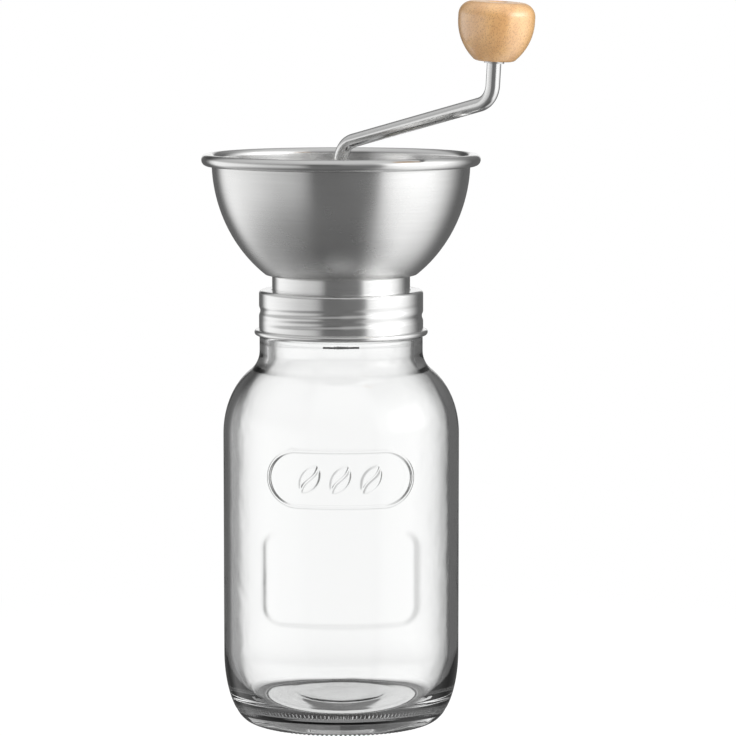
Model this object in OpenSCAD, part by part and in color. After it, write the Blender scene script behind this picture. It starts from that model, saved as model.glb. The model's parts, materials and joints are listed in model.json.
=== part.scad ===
// Hand crank coffee grinder on a preserve jar.
// A steel hopper bowl and its burr unit are clamped on the rim of a glass jar by a screw band.
// The origin is at the centre of the jar's foot, +Z is up, and the label side of the jar faces -Y.

/* [Jar] */
// Outer diameter of the jar's straight body
jar_body_d = 102.2; // [96:0.2:110]
// Height of the jar from its foot to its rim
jar_h = 185.6; // [178:0.1:200]
// Thickness of the glass in the straight body
jar_wall = 3.6; // [3:0.1:4.5]
// Thickness of the glass above the hollow under the foot
jar_floor = 5; // [4:0.5:8]
// Outer diameter of the plain neck below the band
jar_neck_d = 70.6; // [69.5:0.1:72]
// Thickness of the glass in the plain neck
neck_wall = 3.6; // [3:0.1:4.5]
// Outer diameter of the threaded part of the neck, at the root of its thread
jar_finish_d = 66.4; // [66:0.1:67]
// Thickness of the glass in the threaded part of the neck
finish_wall = 3; // [2.7:0.1:4]
// Rounding of the rim's two edges
jar_lip_r = 0.8; // [0.4:0.1:1]
// Height of the rounded heel
heel_h = 30; // [20:1:36]
// Width of the rounded heel, measured inward
heel_w = 12.2; // [9:0.1:15]
// Width of the ring that the jar stands on
foot_ring_w = 3.4; // [2:0.2:5]
// Rise of the hollow under the foot
punt_h = 3; // [1:0.5:4]
// Height at which the shoulder starts to turn in
shoulder_z = 126; // [118:1:130]
// Rise of the full shoulder curve
shoulder_h = 32; // [28:0.5:34]
// Width of the full shoulder curve
shoulder_w = 24.5; // [22:0.5:26]
// Share of the step from the body to the neck that the shoulder curve takes before it turns up
shoulder_share = 0.74; // [0.6:0.01:0.8]

/* [Embossing] */
// Width of the label panel
panel_w = 65; // [50:1:72]
// Height of the label panel
panel_h = 39.3; // [30:0.1:42]
// Corner radius of the label panel
panel_corner = 7; // [3:0.5:10]
// Height of the label panel's centre above the foot
panel_z = 69; // [60:1:72]
// Depth of the label panel below the glass around it
panel_depth = 0.4; // [0.2:0.05:0.6]
// Width of the oval ornament
oval_w = 62; // [50:1:66]
// Height of the oval ornament
oval_h = 25; // [20:0.5:28]
// Height of the ornament's centre above the foot
oval_z = 112; // [108:0.5:114]
// Length of a coffee bean in the ornament
bean_l = 13; // [10:0.5:15]
// Width of the embossed lines
emboss_w = 1.4; // [1:0.1:2]
// Height of the embossed lines above the glass
emboss_h = 0.5; // [0.3:0.1:0.8]

/* [Thread] */
// Rise of the screw thread in one turn
thread_lead = 4.5; // [4.4:0.1:5]
// Height of the thread on the glass
thread_depth = 1.4; // [1.2:0.1:1.5]
// Length of the thread, in turns
thread_turns = 1.5; // [1:0.1:1.6]
// Half the width of the glass thread at its crest
thread_crest = 0.5; // [0.4:0.05:0.6]
// Half the width of the glass thread at its root
thread_root = 1; // [0.8:0.05:1.1]
// Gap between the flanks of the two threads
thread_gap = 0.3; // [0.25:0.05:0.4]
// Radial gap between the crest of the glass thread and the band's wall
thread_play = 0.4; // [0.3:0.05:0.5]
// Radial overlap of the two threads
thread_bite = 0.35; // [0.25:0.05:0.45]

/* [Screw band] */
// Height of the band
band_h = 19.5; // [18.8:0.1:19.6]
// Thickness of the band's sheet
band_wall = 0.5; // [0.4:0.05:0.6]
// Radius of the band's upper edge
band_edge_r = 1.6; // [1:0.1:2]
// Diameter of the rolled lower edge
band_curl_d = 2.5; // [2:0.1:2.7]
// Depth of the rolled thread groove
groove_depth = 0.75; // [0.6:0.05:0.8]
// Depth of the upper groove below the band's top, at the front
groove_drop = 7.8; // [7.4:0.1:8]

/* [Collar and seal] */
// Thickness of the seal between the collar and the jar's rim
seal_t = 1.2; // [0.8:0.1:2]
// Height of the collar
collar_h = 7.7; // [7:0.1:12]
// Thickness of the collar's sheet
collar_wall = 0.8; // [0.6:0.1:1]

/* [Hopper bowl] */
// Outer diameter of the bowl over its rolled rim
bowl_d = 120.4; // [114:0.2:130]
// Height of the bowl
bowl_h = 52.5; // [48:0.5:58]
// Thickness of the bowl's sheet
bowl_wall = 0.8; // [0.6:0.1:1.2]
// Diameter of the rolled rim
bead_d = 5.2; // [4:0.1:6]
// Width of the bowl's floor outside the flange of the burr housing
bowl_floor_w = 3.7; // [3.5:0.1:6]

/* [Burr housing] */
// Thickness of the barrel's wall around the outer burr
barrel_wall = 2.95; // [2.75:0.05:3.2]
// Length of the barrel below the bowl's floor
housing_h = 24.8; // [24:0.1:28]
// Width of the flange outside the clamp screws
flange_edge = 1.65; // [1.3:0.05:2.5]
// Thickness of the flange that rests on the bowl's floor
flange_t = 2.2; // [1.8:0.1:3]
// Width of the ledge over the outer burr, round the throat
throat_ledge = 1.1; // [0.8:0.1:2]
// Width of the keys that stop the outer burr from turning
key_w = 3; // [2:0.5:4]
// Depth of the keys
key_h = 1; // [0.6:0.1:1.2]
// Thickness of the ring that holds the outer burr in
retainer_t = 1.5; // [1.2:0.1:2]
// Width of the retainer's ring below the outer burr
retainer_lip = 1.3; // [1:0.1:1.4]

/* [Bridge] */
// Diameter of the bridge's hub
hub_d = 14; // [13:0.5:16]
// Height of the hub
hub_h = 9; // [7:0.5:12]
// Width of the bridge's three arms
arm_w = 6.5; // [6.4:0.1:8]
// Thickness of the arms
arm_t = 3; // [2:0.5:4]
// Outer diameter of the shaft bush
bush_d = 10; // [9:0.5:11]
// Diameter of the bush's flange
bush_flange_d = 13; // [12:0.5:13]
// Thickness of the bush's flange
bush_flange_t = 1; // [0.8:0.1:1.5]

/* [Burrs] */
// Outer diameter of the outer burr
outer_burr_d = 37.2; // [37:0.1:38]
// Height of the outer burr
outer_burr_h = 18; // [17:0.5:19]
// Narrowest inner diameter of the outer burr
outer_throat_d = 27.4; // [27:0.1:28]
// Height of that narrowest place above the outer burr's foot
outer_throat_z = 11.5; // [10.5:0.5:12.5]
// Diameter of the inner burr at its foot
inner_burr_d = 31.2; // [30:0.1:31.6]
// Height of the inner burr
inner_burr_h = 15; // [14:0.5:16]
// Diameter of the inner burr at its top
inner_top_d = 15; // [14.4:0.1:16]
// Gap between the burrs at their foot, at the middle setting
burr_gap = 0.75; // [0.7:0.05:1]
// Height of the inner burr's foot above the outer burr's foot
burr_seat = 2.2; // [2:0.1:3]
// Width across the flats of the burr carrier
carrier_af = 11; // [10.5:0.1:11.5]
// Diameter of the carrier's foot flange
carrier_flange_d = 17; // [15:0.5:20]
// Thickness of the carrier's foot flange
carrier_flange_t = 2; // [1.5:0.1:2.5]
// Length of the carrier above the inner burr
carrier_rise = 0.7; // [0.4:0.1:1]
// Number of coarse cutting grooves
coarse_teeth = 6; // [4:1:8]
// Number of fine cutting grooves
fine_teeth = 24; // [18:1:30]
// Width of a fine groove
fine_w = 0.9; // [0.6:0.1:1.1]
// Width of a coarse groove
coarse_w = 3; // [2:0.5:3.5]
// Slant of the fine grooves
fine_skew = 15; // [5:1:20]
// Slant of the coarse grooves
coarse_skew = 10; // [5:1:15]

/* [Spring and adjusting nut] */
// Outer diameter of the spring
spring_d = 10.6; // [9:0.2:10.8]
// Diameter of the spring's wire
wire_d = 1.1; // [0.8:0.1:1.4]
// Turns of the spring
spring_turns = 4; // [3:0.5:4.5]
// Diameter of the adjusting nut's hub
nut_d = 13; // [12:0.5:16]
// Height of the adjusting nut
nut_h = 4.5; // [4:0.5:6]
// Number of grip lobes on the adjusting nut
nut_lobes = 6; // [5:1:8]
// Diameter of a grip lobe
lobe_d = 4.4; // [3.6:0.2:5]
// Diameter of the click washer
click_d = 15; // [13:0.5:18]

/* [Crank] */
// Diameter of the crank rod
rod_d = 6; // [5.8:0.1:6.4]
// Bend radius of the rod's centreline
bend_r = 9; // [7:0.5:12]
// Swell of the rod's radius where it is bent
bend_swell = 0.03; // [0.02:0.01:0.1]
// Height of the lower bend's corner above the bowl's rim
crank_clear = 4.1; // [3:0.1:20]
// Distance from the shaft to the upper bend's corner
arm_reach = 82.5; // [75:0.5:100]
// Slope of the arm above level
arm_slope = 13.8; // [5:0.1:25]
// Outward lean of the knob's spindle
end_lean = 3.9; // [0:0.1:8]
// Distance from the upper bend's corner to the knob's foot
end_len = 16.7; // [12:0.1:30]
// Direction of the crank, seen from above
crank_azimuth = -40; // [-180:5:180]
// Width across the two flats that drive the burr
drive_af = 5; // [4.6:0.1:5.4]
// Length of shaft left below the adjusting nut
shaft_tail = 0.7; // [0.4:0.1:1.5]
// Diameter of the thrust collar
thrust_collar_d = 14; // [12:0.5:18]
// Height of the thrust collar
thrust_collar_h = 8; // [6:0.5:10]
// Diameter of the thrust collar's set screw
set_screw_d = 3; // [2.5:0.1:4]

/* [Knob] */
// Largest diameter of the knob
knob_d = 32; // [28:0.5:40]
// Height of the knob
knob_h = 24.6; // [22:0.1:34]
// Diameter of the knob's flat foot
knob_foot_d = 15.6; // [14:0.2:18]
// Radius of the rounding round the knob's top
knob_top_r = 5.8; // [4:0.2:8]
// Height of the knob's widest place above its foot
knob_wide_z = 17; // [14:0.1:18.5]
// Diameter of the spindle in the knob
spindle_d = 4.5; // [4:0.1:5]
// Outer diameter of the knob's bush
knob_bush_d = 7; // [6.4:0.1:7.2]
// Length of the knob's bush
knob_bush_l = 17.6; // [14:0.1:19]
// Diameter of the recess in the knob's top
recess_d = 7.3; // [7.2:0.1:9]
// Diameter of the knob screw's thread
knob_screw_d = 2.5; // [2:0.1:3]
// Length of the knob screw's thread
knob_screw_l = 8; // [5:0.5:12]

/* [Small fasteners] */
// Number of clamp screws, and of arms on the bridge
clamps = 3; // [3:1:4]
// Diameter of a clamp screw's thread
clamp_d = 3; // [2.5:0.1:3.2]
// Width across the flats of a clamp nut
clamp_nut_af = 5.4; // [5:0.1:5.5]
// Height of a clamp nut
clamp_nut_h = 2.4; // [2:0.1:3]
// Diameter of a retainer screw's thread
retainer_screw_d = 1.8; // [1.6:0.1:2]
// Length of a retainer screw's thread
retainer_screw_l = 7; // [5:0.5:9]
// Thickness of the washers
washer_t = 0.8; // [0.6:0.1:1]

/* [Fits] */
// Radial clearance of a shaft that turns in its bore
run_fit = 0.05; // [0.03:0.01:0.09]
// Radial clearance of a piece pressed or screwed into another
press_gap = 0.02; // [0.01:0.01:0.04]
// Clearance round a part that only passes through a hole
free_gap = 0.3; // [0.25:0.05:0.4]
// Play between faces that turn on each other
face_play = 0.1; // [0.05:0.05:0.15]
// Gap between the ledge of the jar's neck and the foot of the band
neck_gap = 0.3; // [0.2:0.05:0.6]
// How far the seal and the collar's foot reach past the threaded part of the neck
seal_lap = 0.2; // [0.1:0.05:0.3]
// Gap between the flats of a clamp nut and the walls on both sides of it
nut_gap = 0.95; // [0.85:0.05:1.5]

/* [Hidden] */
$fn = 96;
eps = 0.01;

steel = "silver";
polished = "gainsboro";
nylon = "dimgray";
ceramic = "ivory";

// Radii that several pieces share
jar_r = jar_body_d / 2;
jar_in_r = jar_r - jar_wall;
neck_r = jar_neck_d / 2;
finish_r = jar_finish_d / 2;
mouth_r = finish_r - finish_wall;
band_in_r = finish_r + thread_depth + thread_play;
band_r = band_in_r + band_wall;
housing_r = outer_burr_d / 2 + free_gap / 2 + barrel_wall;
throat_r = outer_burr_d / 2 - throat_ledge;
collar_r = housing_r + clamp_nut_af + 2 * nut_gap + collar_wall;
foot_flange_r = finish_r + seal_lap;
rod_r = rod_d / 2;
shaft_bore_r = rod_r + run_fit;
clamp_hole_r = clamp_d / 2 + 0.1;
clamp_circle_r = (housing_r + collar_r - collar_wall) / 2;
flange_r = clamp_circle_r + clamp_d / 2 + flange_edge;

// Heights, from the jar's rim upward
collar_foot_z = jar_h + seal_t;
band_lip_z = collar_foot_z + collar_wall + face_play;
band_top_z = band_lip_z + band_wall;
band_foot_z = band_top_z - band_h;
neck_top_z = band_foot_z - neck_gap;
bowl_foot_z = collar_foot_z + collar_h;
bowl_floor_z = bowl_foot_z + bowl_wall;
bowl_rim_z = bowl_foot_z + bowl_h;
bead_z = bowl_rim_z - bead_d / 2;
flange_top_z = bowl_floor_z + flange_t;
bridge_top_z = flange_top_z + arm_t;
hub_top_z = flange_top_z + hub_h;
bush_top_z = hub_top_z + bush_flange_t;
thrust_collar_z = bush_top_z + washer_t + face_play;

// Heights, from the bridge downward
spring_top_z = flange_top_z - face_play - washer_t;
housing_foot_z = bowl_floor_z - housing_h;
outer_burr_top_z = housing_foot_z + outer_burr_h;
inner_burr_z = housing_foot_z + burr_seat;
inner_burr_top_z = inner_burr_z + inner_burr_h;
carrier_z = inner_burr_z - carrier_flange_t;
carrier_top_z = inner_burr_top_z + carrier_rise;
click_z = carrier_z - washer_t;
nut_top_z = click_z - face_play;
nut_z = nut_top_z - nut_h;
shaft_foot_z = nut_z - shaft_tail;

// Corners and tangent lengths of the crank, in its own upright plane
corner_z = bowl_rim_z + crank_clear;
lower_corner = [0, corner_z];
upper_corner = [arm_reach, corner_z + arm_reach * tan(arm_slope)];
lower_tangent = bend_r * tan((90 - arm_slope) / 2);
upper_tangent = bend_r * tan((90 - end_lean - arm_slope) / 2);

// Thread: the band's ridge lies under the glass ridge by one flank and the gap
ridge_crest = thread_crest + 0.4;
ridge_root = thread_root + 0.5;
ridge_in_r = finish_r + thread_depth - thread_bite;
groove_front_z = band_top_z - groove_drop;
flank_offset = thread_crest + thread_gap + ridge_crest
    + (finish_r + thread_depth - ridge_in_r) * (ridge_root - ridge_crest) / groove_depth;

// Points along an arc of a circle or an ellipse
function arc(centre, rx, ry, from, to, steps) =
    [for (i = [0:steps]) let (a = from + (to - from) * i / steps) centre + [rx * cos(a), ry * sin(a)]];

// Outline of a shoulder: an ellipse that turns in, then a hollow arc up to the neck
function shoulder(body_r, neck, w, h) =
    let (sweep = acos(1 - shoulder_share * (body_r - neck) / w),
         end = [body_r - w * (1 - cos(sweep)), shoulder_z + h * sin(sweep)],
         slope = atan2(w * sin(sweep), h * cos(sweep)),
         hollow_r = (end[0] - neck) / (1 - cos(slope)),
         centre = [neck + hollow_r, end[1] + hollow_r * sin(slope)])
    concat(arc([body_r - w, shoulder_z], w, h, 0, sweep, 7),
           arc(centre, hollow_r, hollow_r, 180 + slope - slope / 6, 180, 5));

// A helical ridge that fades at both ends, as rings of four points
module helical_ridge(root_r, crest_r, root_half, crest_half, front_z, turns_from, turns) {
    per_turn = 36;
    steps = round(turns * per_turn);
    fade = per_turn / 6;
    function height(i) = min(1, 0.1 + i / fade, 0.1 + (steps - i) / fade);
    function ring(i) =
        let (a = -90 + 360 * (turns_from + i / per_turn),
             z = front_z + thread_lead * (turns_from + i / per_turn),
             r = root_r + (crest_r - root_r) * height(i),
             dir = [cos(a), sin(a)])
        [for (p = [[root_r, -root_half], [r, -crest_half], [r, crest_half], [root_r, root_half]])
            [dir[0] * p[0], dir[1] * p[0], z + p[1]]];
    points = [for (i = [0:steps]) each ring(i)];
    sides = [for (i = [0:steps - 1]) for (k = [0:3]) each [
        [4 * i + k, 4 * i + (k + 1) % 4, 4 * i + 4 + k],
        [4 * i + (k + 1) % 4, 4 * i + 4 + (k + 1) % 4, 4 * i + 4 + k]]];
    ends = [[3, 2, 1, 0], [4 * steps, 4 * steps + 1, 4 * steps + 2, 4 * steps + 3]];
    outward = crest_r > root_r;
    faces = concat(sides, ends);
    turned = [for (f = faces) [for (k = [len(f) - 1:-1:0]) f[k]]];
    polyhedron(points, outward ? faces : turned, convexity = 6);
}

// A flat shape wrapped on the front of the jar, from one radius to another
module wrapped(z, from_r, to_r) {
    intersection() {
        translate([0, 0, z - panel_h])
            tube(to_r, from_r, 2 * panel_h);
        translate([0, 0, z])
            rotate([90, 0, 0])
                linear_extrude(height = jar_body_d)
                    children();
    }
}

module rounded_rect(w, h, r) {
    square([w - 2 * r, h], center = true);
    square([w, h - 2 * r], center = true);
    for (x = [-1, 1], y = [-1, 1])
        translate([x * (w / 2 - r), y * (h / 2 - r)])
            circle(r = r);
}

module rounded_frame(w, h, r) {
    difference() {
        rounded_rect(w, h, r);
        rounded_rect(w - 2 * emboss_w, h - 2 * emboss_w, r - emboss_w);
    }
}

module bean() {
    side_r = bean_l * 0.65;
    half_w = bean_l * 0.31;
    difference() {
        intersection() {
            translate([side_r - half_w, 0])
                circle(r = side_r);
            translate([half_w - side_r, 0])
                circle(r = side_r);
        }
        square([emboss_w * 0.6, bean_l * 2], center = true);
    }
}

module tube(outer_r, inner_r, h) {
    difference() {
        cylinder(r = outer_r, h = h);
        translate([0, 0, -1])
            cylinder(r = inner_r, h = h + 2);
    }
}

// The hole that the shaft's two flats drive, and with no gap the shaft's own section
module double_d(gap) {
    intersection() {
        circle(r = rod_r + gap);
        square([drive_af + 2 * gap, rod_d + 2], center = true);
    }
}

module around(count) {
    for (i = [0:count - 1])
        rotate([0, 0, 90 + 360 * i / count])
            children();
}

// The knob's own frame: its foot is at the origin and its spindle runs up +Z
module at_knob() {
    rotate([0, 0, crank_azimuth])
        translate([upper_corner[0], 0, upper_corner[1]])
            rotate([0, end_lean, 0])
                translate([0, 0, end_len])
                    children();
}

// One bend of the rod, in the crank's upright plane
module bend(centre, from, sweep) {
    translate([centre[0], 0, centre[1]])
        rotate([90, 0, 0])
            rotate([0, 0, from])
                rotate_extrude(angle = sweep)
                    translate([bend_r, 0])
                        circle(r = rod_r + bend_swell);
}

module glass_jar() {
    bore_r = neck_r - neck_wall;
    inner_w = shoulder_w * (jar_in_r - bore_r) / (jar_r - neck_r);
    inner_h = shoulder_h - jar_wall * 0.4;
    inner_heel_w = heel_w + 2;
    floor_z = punt_h + jar_floor;
    ring_r = jar_r - heel_w;
    inner_shoulder = shoulder(jar_in_r, bore_r, inner_w, inner_h);
    outline = concat(
        [[0, punt_h], [ring_r - foot_ring_w - 6, punt_h * 0.8], [ring_r - foot_ring_w, 0]],
        arc([ring_r, heel_h], heel_w, heel_h, -90, 0, 9),
        shoulder(jar_r, neck_r, shoulder_w, shoulder_h),
        [[neck_r, neck_top_z - 0.8], [neck_r - 0.6, neck_top_z], [finish_r + 0.6, neck_top_z + 0.4],
         [finish_r, neck_top_z + 1.2]],
        arc([finish_r - jar_lip_r, jar_h - jar_lip_r], jar_lip_r, jar_lip_r, 0, 90, 4),
        arc([mouth_r + jar_lip_r, jar_h - jar_lip_r], jar_lip_r, jar_lip_r, 90, 180, 4),
        [[mouth_r, neck_top_z + 0.8], [bore_r, neck_top_z - 1.2]],
        [for (k = [len(inner_shoulder) - 1:-1:0]) inner_shoulder[k]],
        arc([jar_in_r - inner_heel_w, heel_h + 2], inner_heel_w, heel_h + 3 - floor_z, 0, -90, 8),
        [[0, floor_z]]);
    color("lightcyan", 0.4)
        union() {
            difference() {
                rotate_extrude()
                    polygon(outline);
                wrapped(panel_z, jar_r - panel_depth, jar_r + 1)
                    rounded_rect(panel_w, panel_h, panel_corner);
            }
            helical_ridge(finish_r - 0.4, finish_r + thread_depth, thread_root, thread_crest,
                          groove_front_z + flank_offset, 0.2 - thread_turns, thread_turns);
            wrapped(oval_z, jar_r - 1, jar_r + emboss_h)
                rounded_frame(oval_w, oval_h, oval_h / 2 - eps);
            wrapped(oval_z, jar_r - 1, jar_r + emboss_h)
                for (i = [-1:1])
                    translate([i * bean_l, 0])
                        rotate(-30)
                            bean();
        }
}

module screw_band() {
    curl_r = band_curl_d / 2;
    curl_z = band_foot_z + curl_r;
    lip_in_r = collar_r + free_gap;
    color(steel)
        difference() {
            union() {
                rotate_extrude()
                    difference() {
                        union() {
                            translate([lip_in_r, band_top_z - band_edge_r])
                                square([band_r - lip_in_r - band_edge_r, band_edge_r]);
                            translate([band_in_r - band_edge_r, curl_z])
                                square([band_wall + band_edge_r, band_top_z - band_edge_r - curl_z]);
                            translate([band_r - band_edge_r, band_top_z - band_edge_r])
                                circle(r = band_edge_r);
                            translate([band_in_r + curl_r, curl_z])
                                circle(r = curl_r);
                        }
                        translate([0, band_foot_z - 1])
                            square([band_in_r, band_h - band_edge_r + 1]);
                        translate([0, band_foot_z])
                            square([band_in_r - band_edge_r + band_wall, band_h - band_wall]);
                        translate([band_r - band_edge_r, band_top_z - band_edge_r])
                            circle(r = band_edge_r - band_wall);
                    }
                helical_ridge(band_in_r + 0.1, ridge_in_r, ridge_root, ridge_crest,
                              groove_front_z, 0.25 - thread_turns, thread_turns);
            }
            helical_ridge(band_r + 0.5, band_r - groove_depth, thread_root + 0.4, thread_crest,
                          groove_front_z, 0.25 - thread_turns, thread_turns);
        }
}

module hopper_bowl() {
    outer_a = bowl_d / 2 - bead_d + bowl_wall;
    depth = bead_z - bowl_foot_z;
    foot_angle = acos((flange_r + bowl_floor_w) / outer_a);
    outer_b = depth / sin(foot_angle);
    floor_angle = asin((depth - bowl_wall) / (outer_b - bowl_wall));
    bead_centre = [bowl_d / 2 - bead_d / 2, bead_z];
    bead_r = bead_d / 2;
    outline = concat(
        [[housing_r + free_gap, bowl_foot_z]],
        arc([0, bead_z], outer_a, outer_b, -foot_angle, 0, 14),
        arc(bead_centre, bead_r - bowl_wall, bead_r - bowl_wall, 180, -100, 14),
        arc(bead_centre, bead_r, bead_r, -100, 180, 20),
        arc([0, bead_z], outer_a - bowl_wall, outer_b - bowl_wall, 0, -floor_angle, 14),
        [[housing_r + free_gap, bowl_floor_z]]);
    color(steel)
        difference() {
            rotate_extrude()
                polygon(outline);
            around(clamps)
                translate([clamp_circle_r, 0, bowl_foot_z - 1])
                    cylinder(r = clamp_hole_r, h = bowl_wall + 2);
        }
}

module collar() {
    color(polished)
        difference() {
            union() {
                translate([0, 0, collar_foot_z])
                    cylinder(r = foot_flange_r, h = collar_wall);
                translate([0, 0, collar_foot_z])
                    cylinder(r = collar_r, h = collar_h);
            }
            translate([0, 0, collar_foot_z - 1])
                cylinder(r = collar_r - collar_wall, h = collar_h - collar_wall + 1);
            translate([0, 0, collar_foot_z])
                cylinder(r = housing_r + free_gap, h = collar_h + 1);
            around(clamps)
                translate([clamp_circle_r, 0, bowl_foot_z - collar_h / 2])
                    cylinder(r = clamp_hole_r, h = collar_h);
        }
}

module seal_ring() {
    color("whitesmoke")
        translate([0, 0, jar_h])
            tube(foot_flange_r, mouth_r + seal_lap, seal_t);
}

module burr_housing() {
    burr_bore_r = outer_burr_d / 2 + free_gap / 2;
    burr_bore_h = outer_burr_h + face_play;
    color(nylon)
        difference() {
            union() {
                translate([0, 0, housing_foot_z])
                    cylinder(r = housing_r, h = housing_h);
                translate([0, 0, bowl_floor_z])
                    cylinder(r = flange_r, h = flange_t);
            }
            translate([0, 0, housing_foot_z - 1])
                cylinder(r = throat_r, h = housing_h + flange_t + 2);
            difference() {
                translate([0, 0, housing_foot_z - 1])
                    cylinder(r = burr_bore_r, h = burr_bore_h + 1);
                for (side = [-1, 1])
                    translate([side * burr_bore_r - key_h, -key_w / 2, housing_foot_z - 2])
                        cube([2 * key_h, key_w, burr_bore_h + 4]);
            }
            translate([0, 0, flange_top_z - flange_t])
                cylinder(r1 = throat_r, r2 = throat_r + flange_t * 0.6, h = flange_t + eps);
            around(clamps)
                translate([clamp_circle_r, 0, bowl_floor_z - 1])
                    cylinder(r = clamp_hole_r, h = flange_t + 2);
            around(clamps)
                translate([(housing_r + burr_bore_r) / 2, 0, housing_foot_z - 1])
                    cylinder(r = retainer_screw_d / 2 + press_gap, h = retainer_screw_l + 1);
        }
}

// Cutting grooves set round a cone whose side runs from low to high
module grooves(low, high, count, w, depth, skew) {
    run = high - low;
    middle = (low + high) / 2;
    for (i = [0:count - 1])
        rotate([0, 0, 360 * (i + 0.5) / count])
            translate([middle[0], 0, middle[1]])
                rotate([skew, atan2(run[0], run[1]), 0])
                    cube([2 * depth, w, norm(run) * 1.3], center = true);
}

module outer_burr() {
    r = outer_burr_d / 2;
    foot_r = inner_burr_d / 2 + burr_gap;
    top_r = throat_r - 0.5;
    waist_r = outer_throat_d / 2;
    color(ceramic)
        translate([0, 0, housing_foot_z])
            difference() {
                rotate_extrude()
                    polygon([[foot_r, 0], [r, 0], [r, outer_burr_h], [top_r, outer_burr_h],
                             [waist_r, outer_throat_z], [foot_r, burr_seat]]);
                for (side = [-1, 1])
                    translate([side * (r + free_gap / 2) - key_h - free_gap / 2,
                               -key_w / 2 - free_gap / 2, -1])
                        cube([2 * key_h + free_gap, key_w + free_gap, outer_burr_h + 2]);
                grooves([foot_r, burr_seat], [waist_r, outer_throat_z], fine_teeth, fine_w, 0.6, fine_skew);
                grooves([waist_r, outer_throat_z], [top_r, outer_burr_h], coarse_teeth, coarse_w, 1,
                        coarse_skew);
            }
}

module inner_burr() {
    foot_r = inner_burr_d / 2;
    top_r = inner_top_d / 2;
    shoulder_r = outer_throat_d / 2 - 1.5;
    shoulder_h = outer_throat_z - burr_seat;
    color(ceramic)
        translate([0, 0, inner_burr_z])
            difference() {
                rotate_extrude()
                    polygon([[0, 0], [foot_r, 0], [shoulder_r, shoulder_h], [top_r, inner_burr_h],
                             [0, inner_burr_h]]);
                translate([0, 0, -1])
                    cylinder(r = (carrier_af / 2 + press_gap) / cos(30), h = inner_burr_h + 2, $fn = 6);
                grooves([foot_r, 0], [shoulder_r, shoulder_h], fine_teeth, fine_w, 0.6, -fine_skew);
                grooves([shoulder_r, shoulder_h], [top_r, inner_burr_h], coarse_teeth, coarse_w, 1,
                        -coarse_skew);
            }
}

module burr_retainer() {
    screw_circle_r = housing_r - barrel_wall / 2;
    color(steel)
        translate([0, 0, housing_foot_z - retainer_t])
            difference() {
                cylinder(r = housing_r, h = retainer_t);
                translate([0, 0, -1])
                    cylinder(r = outer_burr_d / 2 - retainer_lip, h = retainer_t + 2);
                around(clamps)
                    translate([screw_circle_r, 0, -1])
                        cylinder(r = retainer_screw_d / 2 + 0.1, h = retainer_t + 2);
            }
}

module retainer_screws() {
    screw_circle_r = housing_r - barrel_wall / 2;
    color(polished)
        around(clamps)
            translate([screw_circle_r, 0, housing_foot_z - retainer_t])
                screw(retainer_screw_d, retainer_screw_d * 1.9, retainer_screw_d * 0.6, retainer_screw_l);
}

// A pan-head screw with a cross recess: its head is below the origin and its thread runs up +Z
module screw(d, head_d, head_h, length) {
    slot_w = d * 0.25;
    difference() {
        union() {
            cylinder(r = d / 2, h = length);
            translate([0, 0, -head_h])
                cylinder(r = head_d / 2, h = head_h);
        }
        for (a = [0, 90])
            rotate([0, 0, a])
                translate([-d * 0.55, -slot_w / 2, -head_h - 1])
                    cube([d * 1.1, slot_w, head_h * 0.6 + 1]);
    }
}

module bridge() {
    color(steel)
        difference() {
            union() {
                translate([0, 0, flange_top_z])
                    cylinder(r = hub_d / 2, h = hub_h);
                around(clamps)
                    translate([0, -arm_w / 2, flange_top_z])
                        cube([clamp_circle_r, arm_w, arm_t]);
                around(clamps)
                    translate([clamp_circle_r, 0, flange_top_z])
                        cylinder(r = arm_w / 2, h = arm_t);
            }
            translate([0, 0, flange_top_z - 1])
                cylinder(r = bush_d / 2 + press_gap, h = hub_h + 2);
            around(clamps)
                translate([clamp_circle_r, 0, flange_top_z - 1])
                    cylinder(r = clamp_hole_r, h = arm_t + 2);
        }
}

module shaft_bush() {
    color("goldenrod")
        difference() {
            union() {
                translate([0, 0, flange_top_z])
                    cylinder(r = bush_d / 2, h = hub_h);
                translate([0, 0, hub_top_z])
                    cylinder(r = bush_flange_d / 2, h = bush_flange_t);
            }
            translate([0, 0, flange_top_z - 1])
                cylinder(r = shaft_bore_r, h = hub_h + bush_flange_t + 2);
        }
}

module clamp_screws() {
    color(polished)
        around(clamps)
            translate([clamp_circle_r, 0, bridge_top_z])
                rotate([180, 0, 0])
                    screw(clamp_d, clamp_d * 1.9, clamp_d * 0.6,
                          arm_t + flange_t + bowl_wall + collar_wall + clamp_nut_h + 0.6);
}

module clamp_nuts() {
    color(polished)
        around(clamps)
            translate([clamp_circle_r, 0, bowl_foot_z - collar_wall - clamp_nut_h])
                difference() {
                    cylinder(r = clamp_nut_af / 2 / cos(30), h = clamp_nut_h, $fn = 6);
                    translate([0, 0, -1])
                        cylinder(r = clamp_d / 2 + press_gap, h = clamp_nut_h + 2);
                }
}

module thrust_washer() {
    color("goldenrod")
        translate([0, 0, bush_top_z])
            tube(bush_flange_d / 2, shaft_bore_r, washer_t);
}

module spring_washer() {
    color(polished)
        translate([0, 0, spring_top_z])
            tube(bush_flange_d / 2, shaft_bore_r, washer_t);
}

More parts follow.
